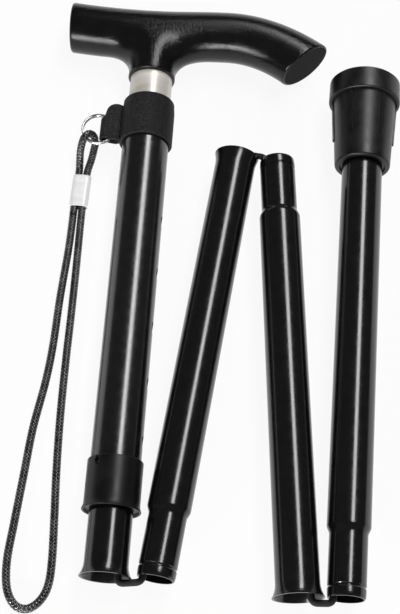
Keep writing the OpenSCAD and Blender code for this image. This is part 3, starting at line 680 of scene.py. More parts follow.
@dataclass
class WristStrap:
    """Braided wrist cord and crimp sleeve, and the woven band, folded tab and split ring that hold them."""

    # Cord
    cord_r: float = 1.8
    braid_sides: int = 42
    strands: int = 3
    braid_pitch: float = 9.6
    braid_step: float = 0.32
    braid_dip: float = 0.36
    braid_rise: float = 0.46
    under_dip: float = 0.4
    end_round: float = 0.8
    end_gap: float = 0.8
    lie_gap: float = 0.2
    stated_step: float = 1.0
    # Crimp sleeve
    crimp_x: float = -74.0
    crimp_y: float = 49.5
    crimp_lean: float = 5.1
    crimp_length: float = 16.8
    crimp_wall: float = 0.5
    crimp_rim: float = 0.25
    rim_run: float = 0.6
    rim_rows: int = 5
    crimp_exit: float = 2.0
    crimp_sides: int = 72
    crimp_rows: int = 60
    crimp_crease: float = 60.0
    strand_step: float = 3.9
    strand_hole: float = 1.95
    hole_fit: float = 0.02
    press_depth: float = 0.16
    press_at: float = 4.2
    press_width: float = 1.3
    # Woven band
    band_base: float = LAYOUT.band_base
    band_top: float = LAYOUT.band_top
    band_r: float = LAYOUT.band_r
    band_sides: int = 144
    band_rows: int = 220
    tube_r: float = 11.1
    ferrule_r: float = 10.2
    tube_fit: float = 0.03
    ferrule_fit: float = 0.1
    tube_top: float = 227.0
    draw_from: float = 226.0
    draw_in: float = 0.4
    edge_run: float = 0.45
    edge_round: float = 0.15
    foot_in: float = 0.4
    shoulder_in: float = 0.6
    top_in: float = 0.9
    webbing: float = 1.2
    rib: float = 0.85
    rib_rise: float = 0.24
    band_weft: float = 0.8
    # Folded tab
    fold_x: float = -20.0
    fold_r: float = 1.95
    tab_low: float = 210.7
    tab_width: float = 11.6
    tab_round: float = 4.5
    tab_foot: float = 0.5
    tab_head: float = 2.0
    tab_step: float = 0.35
    tab_cols: int = 90
    tab_weft: float = 0.5
    layer_rows: int = 40
    fold_rows: int = 22
    tab_edge: float = 0.5
    least_edge: float = 0.05
    seam_in: float = 0.3
    layer_gap: float = 0.66
    part_from: float = 12.2
    part_run: float = 2.7
    narrow_run: float = 0.7
    # Stitches
    stitch_count: int = 9
    stitch_rows: int = 9
    stitch_x: Pair = (-13.1, -14.2)
    stitch_y: Pair = (-1.32, -1.74)
    stitch_first: float = 2.2
    stitch_pitch: float = 1.95
    stitch_half: float = 0.75
    stitch_rise: float = 0.3
    thread_r: float = 0.17
    thread_sides: int = 8
    thread_weave: float = 0.3
    # Split ring
    ring_reach: float = 23.35
    ring_height: float = 216.5
    ring_r: float = 7.65
    ring_rows: int = 320
    wire_r: float = 0.6
    wire_sides: int = 16
    wire_cut: float = 0.15
    wire_taper: tuple[float, ...] = (0.0, 0.6, 0.85, 0.97)
    turn_gap: float = 0.55
    step_over: float = 0.7
    # Places that the cord passes, read from the photograph
    bight: Array = field(default_factory=lambda: np.array([
        [-69.1, 66.2, 10.4], [-67.9, 70.4, 12.4], [-67.2, 73.2, 14.2], [-67.8, 75.4, 17.1],
        [-69.9, 75.0, 19.9], [-72.2, 72.6, 19.9], [-73.9, 68.8, 16.0], [-74.6, 64.6, 11.2]]))
    loop: Array = field(default_factory=lambda: np.array([
        [-77.2, 35.4], [-78.6, 18.6], [-81.5, -6.2], [-83.7, -30.0], [-86.3, -47.8], [-90.8, -69.6],
        [-93.8, -91.4], [-96.7, -112.2], [-98.9, -129.0], [-98.3, -140.8], [-94.8, -147.7],
        [-89.5, -149.5], [-84.3, -146.2], [-81.0, -139.7], [-79.8, -128.8], [-79.6, -109.0],
        [-79.6, -89.2], [-79.0, -64.5], [-77.6, -37.8], [-76.0, -14.0], [-74.6, 9.7]]))

    def crimp_frame(self) -> Section:
        """Frame of the crimp sleeve, at its middle."""
        floor = float(LAYOUT.table_z(self.crimp_x, self.crimp_y))
        return Section(self.crimp_x, self.crimp_y, self.crimp_lean,
                       floor + self.strand_hole + self.crimp_wall + self.lie_gap)

    def route(self) -> Array:
        """The cord's way: out of the sleeve, through the ring, back through the sleeve and round the loop.

        Returns:
            Points in millimetres in the object's frame.
        """
        sleeve, half = self.crimp_frame(), self.strand_step / 2
        reach = self.crimp_length / 2 + self.crimp_exit
        table = LAYOUT.table_z(self.loop[:, 0], self.loop[:, 1])
        lying = np.column_stack([self.loop, table + self.cord_r + self.lie_gap])
        return np.vstack([sleeve.spot(0.0, half), sleeve.spot(reach, half), self.bight,
                          sleeve.spot(reach, -half), sleeve.spot(-reach, -half), lying,
                          sleeve.spot(-reach, half), sleeve.spot(-self.end_gap, half)])

    def braid_cord(self) -> Piece:
        """Braided cord: a round tube whose radius dips where strands cross under.

        Two families of strands wind round the tube with the phases a = k*angle + w*length and
        b = k*angle - w*length; the parity of their half turns says which one lies on top, and that strand's
        height is the square root of its sine, lessened where the other strand's sine is small.

        Returns:
            The cord.
        """
        path = curve_through(self.route(), self.braid_step)
        step = np.linalg.norm(path[1] - path[0])
        run = np.arange(len(path)) * step
        turn = around(self.braid_sides)
        wind = 2 * np.pi / self.braid_pitch * run[:, None]
        a, b = self.strands * (turn + wind), self.strands * (turn - wind)
        on_top = (np.floor(a / np.pi) + np.floor(b / np.pi)) % 2 == 0
        over = np.abs(np.where(on_top, np.sin(a), np.sin(b)))
        under = np.abs(np.where(on_top, np.sin(b), np.sin(a)))
        rise = np.sqrt(over) * (1 - self.under_dip + self.under_dip * under)
        ends = np.sqrt(np.clip(np.minimum(run, run[-1] - run) / self.end_round, 0.0, 1.0))
        radius = (self.cord_r - self.braid_dip + self.braid_rise * rise) * ends[:, None]
        points = MM * carry(path, radius[..., None] * circle(turn))
        quads, marks = grid_quads(len(path), self.braid_sides, close_cols=True)
        weave = marks * self.strands * [step / self.braid_pitch, 1 / self.braid_sides]
        cord = make_piece("wrist_cord", points, quads, weave, BRAID)
        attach(cord, "upper")
        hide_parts("wrist_cord")
        return cord

    def declare(self) -> None:
        """Computes the cord's route in metres at the stated step; the result is not used.
        """
        path = MM * curve_through(self.route(), self.stated_step)

    def crimp_sleeve(self) -> Piece:
        """Flat oval sleeve round two strands: two half circles joined by straights. The rows of each rim lie
        on a quarter circle and run from the side to the face, so that the outline doubles back there, and two
        shallow press marks follow bell curves along the sleeve.

        Returns:
            The sleeve.
        """
        half, rim = self.crimp_length / 2, self.crimp_rim
        flat = half - self.rim_run
        turn = np.linspace(0.0, 2 * np.pi, self.crimp_sides, endpoint=False)
        centre = np.where(np.cos(turn) > 0, 1.0, -1.0) * self.strand_step / 2
        edge = rim * (1 - np.sin(np.linspace(0.0, np.pi / 2, self.rim_rows)))
        out_z = np.concatenate([-half + edge, np.linspace(-flat, flat, self.crimp_rows), half - edge[::-1]])
        into_rim = np.clip((np.abs(out_z) - half + rim) / rim, 0, 1)
        out_r = self.strand_hole + self.crimp_wall - rim * (1 - np.sqrt(1 - into_rim**2))
        press = self.press_depth * (np.exp(-((out_z - self.press_at) / self.press_width) ** 2)
                                    + np.exp(-((out_z + self.press_at) / self.press_width) ** 2))
        z = np.concatenate([out_z, [half, -half]])
        r = np.concatenate([out_r, np.full(2, self.strand_hole + self.hole_fit)])
        press = np.concatenate([press, [0.0, 0.0]])
        x = centre + r[:, None] * np.cos(turn)
        y = (r - press)[:, None] * np.sin(turn)
        local = np.stack([x, y, np.broadcast_to(z[:, None], x.shape)], axis=-1)
        quads, marks = grid_quads(len(z), len(turn), close_rows=True, close_cols=True)
        sleeve = make_piece("crimp_sleeve", self.crimp_frame().place(local), quads, marks, SLEEVE_PAINTED_REFLECTION,
                            self.crimp_crease)
        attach(sleeve, "upper")
        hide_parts("crimp_sleeve")
        return sleeve

    def rib_height(self, z: Array) -> Array:
        """Height of the webbing's ribs: the root of a sine's size, a round ridge for each rib width."""
        return self.rib_rise * np.sqrt(np.abs(np.sin(np.pi * (z - self.band_base) / self.rib)))

    def band(self) -> Piece:
        """Woven band: a ribbed outline turned round the tube, drawn in over the ferrule at its top edge.

        Returns:
            The band.
        """
        base, top, face = self.band_base, self.band_top, self.band_r - self.rib_rise
        z = np.linspace(base + self.edge_run, top - self.edge_run, self.band_rows)
        draw = self.draw_in * ease((z - self.draw_from) / (top - self.draw_from))
        outer = np.stack([face + self.rib_height(z) - draw, z], axis=1)
        bore = self.tube_r + self.tube_fit
        low = np.array([[bore, base], [self.band_r - self.foot_in, base], [face, base + self.edge_round]])
        high = np.array([[self.band_r - self.shoulder_in, top - self.edge_round],
                         [self.band_r - self.top_in, top],
                         [self.ferrule_r + self.ferrule_fit, top], [bore, self.tube_top]])
        profile = np.vstack([low, outer, high])
        ring = profile[:, None, :1] * circle(around(self.band_sides))
        heights = np.broadcast_to(profile[:, None, 1:], (*ring.shape[:2], 1))
        local = np.concatenate([ring, heights], axis=-1)
        quads, marks = grid_quads(len(profile), self.band_sides, close_rows=True, close_cols=True)
        row = marks[..., 0].astype(int) % len(profile)
        weave = np.stack([(profile[:, 1] - base)[row] / self.rib, self.band_weft * marks[..., 1]], axis=-1)
        band = make_piece("strap_band", LAYOUT.upper.place(local), quads, weave, WEBBING)
        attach(band, "upper")
        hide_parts("strap_band")
        return band

    def tab_path(self) -> Array:
        """Line of the folded tab: two layers that lie together at the seam, part round the ring and meet in a
        half circle.

        Returns:
            Points in the upper section's frame, at height nought.
        """
        x = np.linspace(-self.tube_r - self.seam_in, self.fold_x, self.layer_rows)
        gap = mix(self.layer_gap, self.fold_r, ease((-x - self.part_from) / self.part_run))
        turn = np.linspace(np.pi / 2, 3 * np.pi / 2, self.fold_rows + 2)[1:-1]
        fold = self.fold_r * circle(turn) + [self.fold_x, 0.0]
        line = np.vstack([np.column_stack([x, gap]), fold, np.column_stack([x, -gap])[::-1]])
        return np.column_stack([line, np.zeros(len(line))])

    def tab(self) -> Piece:
        """Folded tab: a flat ribbed strip with round edges, carried along the fold's line. Its upper corner
        is an arc, and it narrows at the fold.

        Returns:
            The tab.
        """
        path = even_path(self.tab_path(), self.tab_step)
        out = -path[:, :1]
        share = np.clip((out - self.tube_r) / (-self.fold_x - self.tube_r), 0.0, 1.0)
        low = mix(self.band_base + self.tab_foot, self.tab_low, share)
        arc = np.clip(out + self.fold_x + self.tab_round, 0.0, self.tab_round)
        shoulder = self.band_top - self.tab_head - self.tab_round + np.sqrt(self.tab_round**2 - arc**2)
        high = mix(shoulder, self.tab_low + self.tab_width, ease((out + self.fold_x) / self.narrow_run))
        z = mix(low, high, 0.5 - 0.5 * np.cos(np.linspace(0.0, np.pi, self.tab_cols)))
        inward = np.clip(np.minimum(z - low, high - z) / self.tab_edge, 0, 1)
        edge = np.sqrt(np.clip(1 - (1 - inward) ** 2, 0, 1))
        half = (self.webbing / 2 - self.rib_rise + self.rib_height(z)) * np.maximum(edge, self.least_edge)
        face, back = np.stack([half, z], axis=-1), np.stack([-half, z], axis=-1)
        section = np.concatenate([face, back[:, ::-1]], axis=1)
        rows, cols = section.shape[:2]
        quads, marks = grid_quads(rows, cols, close_cols=True)
        k = np.arange(cols // 2 - 1)
        ends = np.stack([k, k + 1, cols - 2 - k, cols - 1 - k], axis=1)
        quads = np.vstack([quads, ends, ends + (rows - 1) * cols])
        marks = np.vstack([marks, np.zeros((2 * len(ends), 4, 2))])
        row, col = (marks[..., axis].astype(int) for axis in (0, 1))
        rise = (section[..., 1] - self.band_base)[row, col % cols]
        weave = np.stack([rise / self.rib, self.tab_weft * row], axis=-1)
        tab = make_piece("strap_tab", LAYOUT.upper.place(carry(path, section)), quads, weave, WEBBING)
        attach(tab, "upper")
        return tab

    def stitches(self) -> Piece:
        """Two rows of thread at the tab's seam: each stitch is half an oval ring that dips into the webbing.

        Returns:
            The rows of stitches.
        """
        rise = np.linspace(0.0, np.pi, self.stitch_rows)
        path = np.column_stack([np.zeros(self.stitch_rows), -self.stitch_rise * np.sin(rise),
                                -self.stitch_half * np.cos(rise)])
        one = carry(path, self.thread_r * circle(around(self.thread_sides)), (1.0, 0.0, 0.0))
        heights = self.band_base + self.stitch_first + self.stitch_pitch * np.arange(self.stitch_count)
        seams = np.column_stack([self.stitch_x, self.stitch_y])
        places = np.concatenate([np.repeat(seams, self.stitch_count, axis=0),
                                 np.tile(heights, len(seams))[:, None]], axis=1)
        local = one + places[:, None, None]
        quads, marks = grid_quads(self.stitch_rows, self.thread_sides, close_cols=True)
        each = np.arange(len(places))[:, None, None] * self.stitch_rows * self.thread_sides
        weave = np.tile(marks, (len(places), 1, 1)) * self.thread_weave
        quads = (quads + each).reshape(-1, 4)
        rows = make_piece("strap_stitches", LAYOUT.upper.place(local), quads, weave, THREAD)
        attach(rows, "upper")
        return rows

    def ring(self) -> Piece:
        """Split ring: one wire wound twice round a circle, which steps over to the second turn half way.

        Returns:
            The ring.
        """
        turn = np.linspace(self.wire_cut, 4 * np.pi - self.wire_cut, self.ring_rows)
        over = ease((turn - 2 * np.pi + self.step_over / 2) / self.step_over)
        path = np.column_stack([-self.ring_reach + self.ring_r * np.cos(turn),
                                -self.turn_gap + 2 * self.turn_gap * over,
                                self.ring_height + self.ring_r * np.sin(turn)])
        taper = np.ones(len(path))
        taper[:len(self.wire_taper)] = self.wire_taper
        taper[-len(self.wire_taper):] = self.wire_taper[::-1]
        section = self.wire_r * taper[:, None, None] * circle(around(self.wire_sides))
        local = carry(path, section, (0.0, 1.0, 0.0))
        quads, marks = grid_quads(len(path), self.wire_sides, close_cols=True)
        ring = make_piece("split_ring", LAYOUT.upper.place(local), quads, marks, WIRE)
        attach(ring, "ring")
        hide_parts("split_ring")
        return ring


@dataclass
class ElasticCord:
    """The elastic cord that runs through all the sections, in stretches that follow the sections' joints."""

    radius: float = 1.5
    sides: int = 24
    cover_pitch: float = 1.2
    cover_threads: int = 10
    crease: float = 50.0
    run_step: float = 2.0
    run_points: int = 40
    bend_step: float = 0.5
    bend_points: int = 14
    bend_corner: float = 2.7
    knot_r: float = 2.6
    knot_thread_r: float = 0.85
    knot_rows: int = 96
    knot_sides: int = 12
    knot_up: Triple = (0.2, 0.3, 1.0)
    knot_weave: float = 0.5
    anchor_top: float = 92.0
    lower_anchor_top: float = 198.0

    def stretch(self, name: str, points: Array, step: float) -> Piece:
        """A round length of cord with a fine woven cover and flat ends.

        Args:
            name: the CAD node that it stands for.
            points: its line in millimetres, in the object's frame.
            step: distance between rings.

        Returns:
            The length of cord.
        """
        path = even_path(points, step)
        body = carry(path, self.radius * circle(around(self.sides)))
        first, last = (end[:, None].repeat(self.sides, axis=1) for end in (path[:1], path[-1:]))
        rings = np.concatenate([first, body, last])
        quads, marks = grid_quads(len(rings), self.sides, close_cols=True)
        weave = marks * [step / self.cover_pitch, self.cover_threads / self.sides]
        made = make_piece(name, MM * rings, quads, weave, ELASTIC, self.crease)
        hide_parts(name)
        return made

    def half_bend(self, name: str, end: Section, offset: float, pole: Array) -> Piece:
        """Half of the way between two mouths: straight out of the tube, round a corner and on to the pole.

        The corner is a quadratic curve between points a little before and after it.

        Args:
            name: the CAD node that it stands for.
            end: the section seen from this mouth.
            offset: the cord's offset in it.
            pole: where the two halves meet.

        Returns:
            The half bend.
        """
        inside, corner = end.spot(LAYOUT.bend_reach, offset), end.spot(-LAYOUT.bend_drop, offset)
        before, after = (corner + self.bend_corner * unit(way - corner) for way in (inside, pole))
        turn = bow(before, corner, after, np.linspace(0.0, 1.0, self.bend_points)[:, None])
        made = self.stretch(name, np.vstack([inside, turn, pole]), self.bend_step)
        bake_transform(made)
        return made

    def run(self, name: str, section: Section, first: Pair, last: Pair) -> Piece:
        """A length of cord inside a tube, which eases from one offset to the other.

        Args:
            name: the CAD node that it stands for.
            section: the section.
            first: height and offset of its start.
            last: height and offset of its end.

        Returns:
            The length of cord.
        """
        s = np.linspace(0.0, 1.0, self.run_points)
        across, along = mix(first[1], last[1], ease(s)), mix(first[0], last[0], s)
        local = np.column_stack([across, np.zeros(len(s)), along])
        return self.stretch(name, section.place(local) / MM, self.run_step)

    def lead(self, name: str, section: Section, offset: float, first: float, last: float,
             fixed: str, moving: str) -> Piece:
        """A straight length of cord along a section, between two heights.

        Args:
            name: the CAD node that it stands for.
            section: the section that it runs in.
            offset: its offset from the axis.
            first: height of its first end.
            last: height of its last end.
            fixed: a body's name; not used.
            moving: another body's name; not used.

        Returns:
            The length of cord.
        """
        ends = np.array([section.spot(first, offset), section.spot(last, offset)])
        made = self.stretch(name, ends, self.run_step)
        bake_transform(made)
        return made

    def knot(self, name: str, section: Section, offset: float, base: float, body: str) -> Piece:
        """Overhand knot: a tube along a trefoil, which is sin t + 2 sin 2t and cos t - 2 cos 2t across the
        section and -sin 3t along it, all over 3.

        Args:
            name: the CAD node that it stands for.
            section: the section.
            offset: its offset from the axis.
            base: height of its foot.
            body: the body that it rides on.

        Returns:
            The knot.
        """
        t = np.linspace(0.0, 2 * np.pi, self.knot_rows + 1)[:-1]
        line = np.column_stack([np.sin(t) + 2 * np.sin(2 * t), np.cos(t) - 2 * np.cos(2 * t), -np.sin(3 * t)])
        path = line / 3.0 * (self.knot_r - self.knot_thread_r) + [offset, 0.0, base + self.knot_r]
        along = unit(np.roll(path, -1, axis=0) - np.roll(path, 1, axis=0))
        side = unit(np.cross(along, self.knot_up))
        lift = np.cross(side, along)
        ring = circle(around(self.knot_sides))
        round_line = ring[:, :1] * side[:, None] + ring[:, 1:] * lift[:, None]
        local = path[:, None] + self.knot_thread_r * round_line
        quads, marks = grid_quads(len(path), self.knot_sides, close_rows=True, close_cols=True)
        made = make_piece(name, section.place(local), quads, marks * self.knot_weave, ELASTIC)
        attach(made, body)
        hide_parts(name)
        return made

    def build(self) -> list[Piece]:
        """All the stretches, from the upper knot to the lower one.

        Returns:
            The pieces.
        """
        a, b, c, d = LAYOUT.upper, LAYOUT.second, LAYOUT.third, LAYOUT.bottom
        off, reach, lead = LAYOUT.cord_offset, LAYOUT.bend_reach, LAYOUT.lead_length
        b_mouth, c_mouth = LAYOUT.mouth(b, LAYOUT.second_length), LAYOUT.mouth(c, LAYOUT.third_length)
        b_end, c_end = LAYOUT.second_length - reach, LAYOUT.third_length - reach
        ab = LAYOUT.pole(a, off, b, -off)
        bc = LAYOUT.pole(b_mouth, -off, c, off)
        cd = LAYOUT.pole(c_mouth, off, d, -off)
        riding = [
            ("inner", self.run("cord_upper", a, (reach, off), (self.anchor_top, off))),
            ("second", self.run("cord_second", b, (reach + lead, -off), (b_end - lead, off))),
            ("third", self.run("cord_third", c, (reach, off), (c_end - lead, -off))),
            ("bottom", self.run("cord_bottom", d, (reach, -off), (self.lower_anchor_top, -off))),
        ]
        for body, piece in riding:
            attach(piece, body)
        return [piece for _, piece in riding] + [
            self.half_bend("bend_ab", a, off, ab),
            self.half_bend("bend_ba", b, -off, ab),
            self.half_bend("bend_bc", b_mouth, -off, bc),
            self.half_bend("bend_cb", c, off, bc),
            self.half_bend("bend_cd", c_mouth, off, cd),
            self.half_bend("bend_dc", d, -off, cd),
            self.lead("lead_ab", b, -off, reach, reach + lead, "core_ab", "second"),
            self.lead("lead_bc", b, off, b_end, b_end - lead, "core_bc", "second"),
            self.lead("lead_cd", c, -off, c_end, c_end - lead, "core_cd", "third"),
            self.knot("upper_knot", a, off, self.anchor_top, "inner"),
            self.knot("lower_knot", d, -off, self.lower_anchor_top, "bottom"),
        ]


@dataclass
class Handle:
    """Moulded T-shaped grip with a flat oval end.

    A skeleton in the shape of a T carries an outline in the fold's plane. At the angle a from that plane the
    surface lies at skeleton + cos(a) * (outline - skeleton) in the plane and at sin(a) * half the thickness
    across it, so that the bar and the neck are oval and run into each other.
    """

    base: float = 246.0
    half: float = 12.3
    height: float = 26.2
    back: float = 42.0
    front: float = 75.0
    straight: float = 36.0
    drop: float = 14.2
    front_rise: float = 1.2
    back_rise: float = 2.4
    swell: float = 1.4
    end_angle: float = 40.0
    neck_r: float = 11.4
    fillet_back: float = 13.0
    fillet_front: float = 17.0
    neck_straight: float = 3.0
    nose_rim: float = 1.1
    back_rim: float = 1.6
    neck_rim: float = 0.6
    corner: float = 0.4
    neck_foot: Pair = (2.0, 1.2)
    foot_share: float = 0.94
    nose_half: float = 13.5
    back_half: float = 12.5
    nose_search: Pair = (30.0, 92.0)
    back_search: Pair = (-60.0, -30.0)
    halvings: int = 40
    flat_within: float = 1e-5
    crease: float = 70.0
    angles: int = 61
    web_rows: int = 14
    back_rows: int = 14
    front_rows: int = 36
    rim_rows: int = 5
    flat_rows: int = 10
    foot_rows: int = 9

    def spine(self, x: Array) -> tuple[Array, Array, Array]:
        """The bar's middle line: a slight rise to the back and the front, then a parabola down to the nose.

        Args:
            x: places along the bar.

        Returns:
            Height, slope and radius there.
        """
        droop = self.front - self.straight
        share = np.maximum(0.0, x - self.straight) / droop
        s = np.clip(x / self.straight, 0.0, 1.0)
        lift = np.where(x < 0, self.back_rise * (x / self.back) ** 2, self.front_rise * ease(s))
        z = self.height + lift - self.drop * share**2
        front_slope = 6 * self.front_rise * s * (1 - s) / self.straight - 2 * self.drop * share / droop
        slope = np.arctan(np.where(x < 0, 2 * self.back_rise * x / self.back**2, front_slope))
        return z, slope, self.half + self.swell * share**2

    def edge(self, x: Array, way: float, lean: Array) -> Array:
        """Points of the bar's surface.

        Args:
            x: places along the bar.
            way: 1 for the upper half, -1 for the lower.
            lean: angles from the fold's plane, which broadcast with x.

        Returns:
            Points in the handle's frame.
        """
        x = np.broadcast_to(x, np.broadcast_shapes(np.shape(x), np.shape(lean)))
        z, slope, r = self.spine(x)
        out = way * r * np.cos(lean)
        return np.stack([x - out * np.sin(slope), self.half * np.sin(lean) * np.ones_like(x),
                         z + out * np.cos(slope)], axis=-1)

    def nose(self) -> Array:
        """Middle of the oval end."""
        return np.array([self.front, 0.0, float(self.spine(np.array(self.front))[0])])

    def nose_normal(self) -> Array:
        """Direction in which the oval end faces."""
        tilt = math.radians(self.end_angle)
        return np.array([math.sin(tilt), 0.0, -math.cos(tilt)])

    def cut(self, way: float, lean: Array, front: bool) -> Array:
        """Where the bar meets its flat end, found by halving an interval for all angles at once.

        Args:
            way: 1 for the upper half, -1 for the lower.
            lean: angles from the fold's plane.
            front: the oval end, or else the flat back.

        Returns:
            Places along the bar.
        """
        normal = self.nose_normal() if front else np.array([1.0, 0.0, 0.0])
        origin = self.nose() if front else np.array([-self.back, 0.0, 0.0])
        low, high = (np.full(lean.shape, end) for end in (self.nose_search if front else self.back_search))
        for _ in range(self.halvings):
            middle = (low + high) / 2
            beyond = (self.edge(middle, way, lean) - origin) @ normal > 0
            low, high = np.where(beyond, low, middle), np.where(beyond, middle, high)
        return (low + high) / 2

    def ramp(self, share: Array) -> Array:
        """Rounded ramp from 0 at -1 to 1 at 1: half the sum of the share and a hyperbola that ends at 1."""
        arm = np.hypot(share, self.corner)
        return (share + arm - math.hypot(1.0, self.corner) + 1.0) / 2

    def neck_side(self, way: float, root_x: float, lean: Array) -> Array:
        """One side of the neck: an elliptic fillet off the bar that ends straight above the ferrule, over a
        skeleton that turns from the bar into the neck on a hyperbola.

        Args:
            way: 1 for the front, -1 for the back.
            root_x: distance of the fillet's root from the tube's axis.
            lean: angles from the fold's plane.

        Returns:
            Points from the root down to the neck's foot.
        """
        root = self.edge(np.array(way * root_x), -1.0, np.array(0.0))
        share = np.linspace(1.0, -1.0, 2 * self.web_rows + 1)
        a = np.pi / 4 * (1 + share)
        out = np.column_stack([way * (root_x - (root_x - self.neck_r) * np.cos(a)),
                               self.neck_straight + (root[2] - self.neck_straight) * np.sin(a)])
        along = way * root_x * self.ramp(share)
        line = np.column_stack([along, mix(self.spine(along)[0], self.neck_straight, self.ramp(-share))])
        foot = np.array([*self.neck_foot, self.neck_rim])
        out = np.vstack([out, np.column_stack([np.full(len(foot), way * self.neck_r), foot])])
        line = np.vstack([line, np.column_stack([np.zeros(len(foot)), foot])])
        plane = line[:, None] + np.cos(lean)[None, :, None] * (out - line)[:, None]
        across = np.broadcast_to(self.half * np.sin(lean), plane.shape[:2])
        return np.stack([plane[..., 0], across, plane[..., 1]], axis=-1)

    def flat_end(self, first: Array, second: Array, rim_first: Array, rim_second: Array,
                 inset: float) -> Array:
        """A flat end with a rounded rim: a quadratic curve from the side over the rim, straight lines across
        the flat, and a curve back to the other side.

        Args:
            first: points on the first side, a rim's width before the end.
            second: points on the second side.
            rim_first: points of the sharp rim on the first side.
            rim_second: points of the sharp rim on the second side.
            inset: share by which the flat is smaller than the end.

        Returns:
            Rows of points from the first side to the second.
        """
        middle = (rim_first + rim_second).mean(axis=0, keepdims=True) / 2
        flat_first, flat_second = (mix(rim, middle, inset) for rim in (rim_first, rim_second))
        s = np.linspace(0.0, 1.0, self.rim_rows + 1)[1:, None, None]
        onto = bow(first, rim_first, flat_first, s)
        off = bow(second, rim_second, flat_second, s)[::-1]
        across = mix(flat_first, flat_second, np.linspace(0.0, 1.0, self.flat_rows + 2)[1:-1, None, None])
        return np.concatenate([onto, across, off])

    def surface(self) -> tuple[Array, int, int]:
        """The whole closed surface as rows along the outline, from the neck's back on, and columns from one
        flat side to the other.

        Returns:
            Points in the handle's frame, the last row of the neck and the first row of the crown over it.
        """
        lean = np.linspace(-np.pi / 2, np.pi / 2, self.angles)
        back_root, front_root = self.neck_r + self.fillet_back, self.neck_r + self.fillet_front
        ends = {(way, front): self.cut(way, lean, front) for way in (-1.0, 1.0) for front in (False, True)}
        share = np.linspace(0.0, 1.0, self.back_rows + 1)[:-1, None]
        far = np.linspace(0.0, 1.0, self.front_rows + 1)[1:, None]
        over = self.ramp(np.linspace(1.0, 0.0, self.web_rows + 1))[:, None]

        def bar(way: float) -> tuple[Array, Array]:
            """The bar's back and front stretches on one edge."""
            back = self.edge(mix(ends[way, False] + self.back_rim, -back_root, share), way, lean)
            front = self.edge(mix(front_root, ends[way, True] - self.nose_rim, far), way, lean)
            return back, front

        def rim(way: float, front: bool) -> Array:
            """The sharp rim of one end on one edge."""
            return self.edge(ends[way, front], way, lean)

        low_back, low_front = bar(-1.0)
        top_back, top_front = bar(1.0)
        left, right = self.neck_side(-1.0, back_root, lean), self.neck_side(1.0, front_root, lean)[::-1]
        crown_front = self.edge(front_root * over, 1.0, lean)
        crown_back = self.edge(-back_root * over[::-1], 1.0, lean)
        foot = [side * [self.foot_share, self.foot_share, 0.0] for side in (left[-1], right[0])]
        bottom = mix(*foot, np.linspace(0.0, 1.0, self.foot_rows)[:, None, None])
        nose = self.flat_end(low_front[-1], top_front[-1], rim(-1.0, True), rim(1.0, True),
                             self.nose_rim / self.nose_half)
        tail = self.flat_end(top_back[0], low_back[0], rim(1.0, False), rim(-1.0, False),
                             self.back_rim / self.back_half)
        neck, front = [left, bottom, right], [low_front, nose, top_front[::-1]]
        points = np.concatenate(neck + front + [crown_front, crown_back, top_back[::-1], tail, low_back])
        neck_rows, front_rows = (sum(len(block) for block in blocks) for blocks in (neck, front))
        return points, neck_rows - 1, neck_rows + front_rows

    def web(self, right: int, crown: int) -> Array:
        """Quads that close a flat side inside the T: between the crown and the neck's two fillets, and across
        the neck.

        Args:
            right: the last row of the neck.
            crown: the first row of the bar's crown.

        Returns:
            Rows of the outline, four for each quad.
        """
        n, k = self.web_rows, np.arange(self.web_rows)
        back = crown + 2 * n + 1
        return np.concatenate([
            np.stack([crown + k, crown + k + 1, right - k - 1, right - k], axis=1),
            np.stack([back - k, back - k - 1, k + 1, k], axis=1),
            np.stack([n + k, n + k + 1, right - n - k - 1, right - n - k], axis=1),
            [[crown + n, crown + n + 1, n, right - n]]])

    def build(self) -> Piece:
        """The handle, closed where the outline's two halves meet on its flat sides, with the oval end smooth
        and in a darker, almost unreflecting finish that paints the shade on it.

        Returns:
            The handle.
        """
        points, right, crown = self.surface()
        points = points + [0.0, 0.0, self.base]
        rows, cols = points.shape[:2]
        quads, marks = grid_quads(rows, cols, close_rows=True)
        web = self.web(right, crown) * cols
        quads = np.vstack([quads, web, web + cols - 1])
        marks = np.vstack([marks, np.zeros((2 * len(web), 4, 2))])
        made = make_piece("handle", LAYOUT.upper.place(points), quads, marks, GRIP, self.crease)
        # Second slot: the oval end's finish, whose darker tone and missing reflection are painted shade.
        made.data.materials.append(NOSE_PAINTED_SHADE.material())
        centres = np.empty(3 * len(made.data.polygons))
        made.data.polygons.foreach_get("center", centres)
        nose = self.nose() + [0.0, 0.0, self.base]
        origin, ahead, zero = LAYOUT.upper.place(np.stack([nose, self.nose_normal(), np.zeros(3)]))
        flat = np.abs((centres.reshape(-1, 3) - origin) @ unit(ahead - zero)) < self.flat_within
        made.data.polygons.foreach_set("material_index", flat.astype(np.int32))
        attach(made, "upper")
        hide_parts("handle")
        return made


@dataclass
class Hardware:
    """Tubes, collar, foot and inner parts whose solids are shown as they are, with their finishes."""

    finishes: dict[str, Finish] = field(default_factory=lambda: {
        "upper_tube": OUTER, "inner_tube": TUBE, "second_tube": TUBE, "third_tube": TUBE, "bottom_tube": TUBE,
        "locking_collar": COLLAR, "rubber_tip": FOOT, "ferrule": POLISHED_PAINTED_REFLECTION, "handle_rivet": POLISHED_PAINTED_REFLECTION,
        "handle_stem": STEM, "glide_bush": BUSH, "snap_button": STEEL, "button_spring": STEEL,
        "tip_washer": STEEL, "upper_anchor": ANCHOR, "lower_anchor": ANCHOR})

    def dress(self) -> None:
        """Puts each solid's finish into its material slots."""
        for node, finish in self.finishes.items():
            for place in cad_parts[node].material_slots:
                place.material = finish.material()
            LOG.info("%s is shown with the finish %s", node, finish.name)


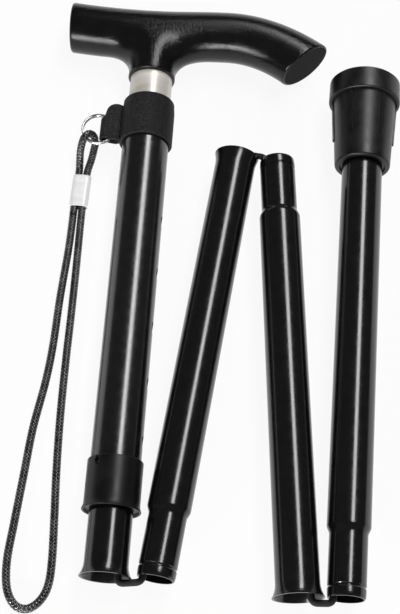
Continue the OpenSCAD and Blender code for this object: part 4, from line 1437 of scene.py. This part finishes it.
def main() -> None:
    """Builds the scene: camera and cords first, then the other pieces, the floor and the light."""
    logging.basicConfig(level=logging.INFO, format="%(message)s")
    studio = Studio()
    studio.set_camera()
    strap = WristStrap()
    cord, crimp = strap.braid_cord(), strap.crimp_sleeve()
    strap.declare()
    made = [cord, crimp, *ElasticCord().build(), strap.band(), strap.tab(), strap.stitches(), strap.ring(),
            Handle().build()]
    for piece in made:
        LOG.info("%s has %d faces", piece.name, len(piece.data.polygons))
    Hardware().dress()
    studio.lay_floor()
    studio.add_light()


if __name__ == "__main__":
    main()
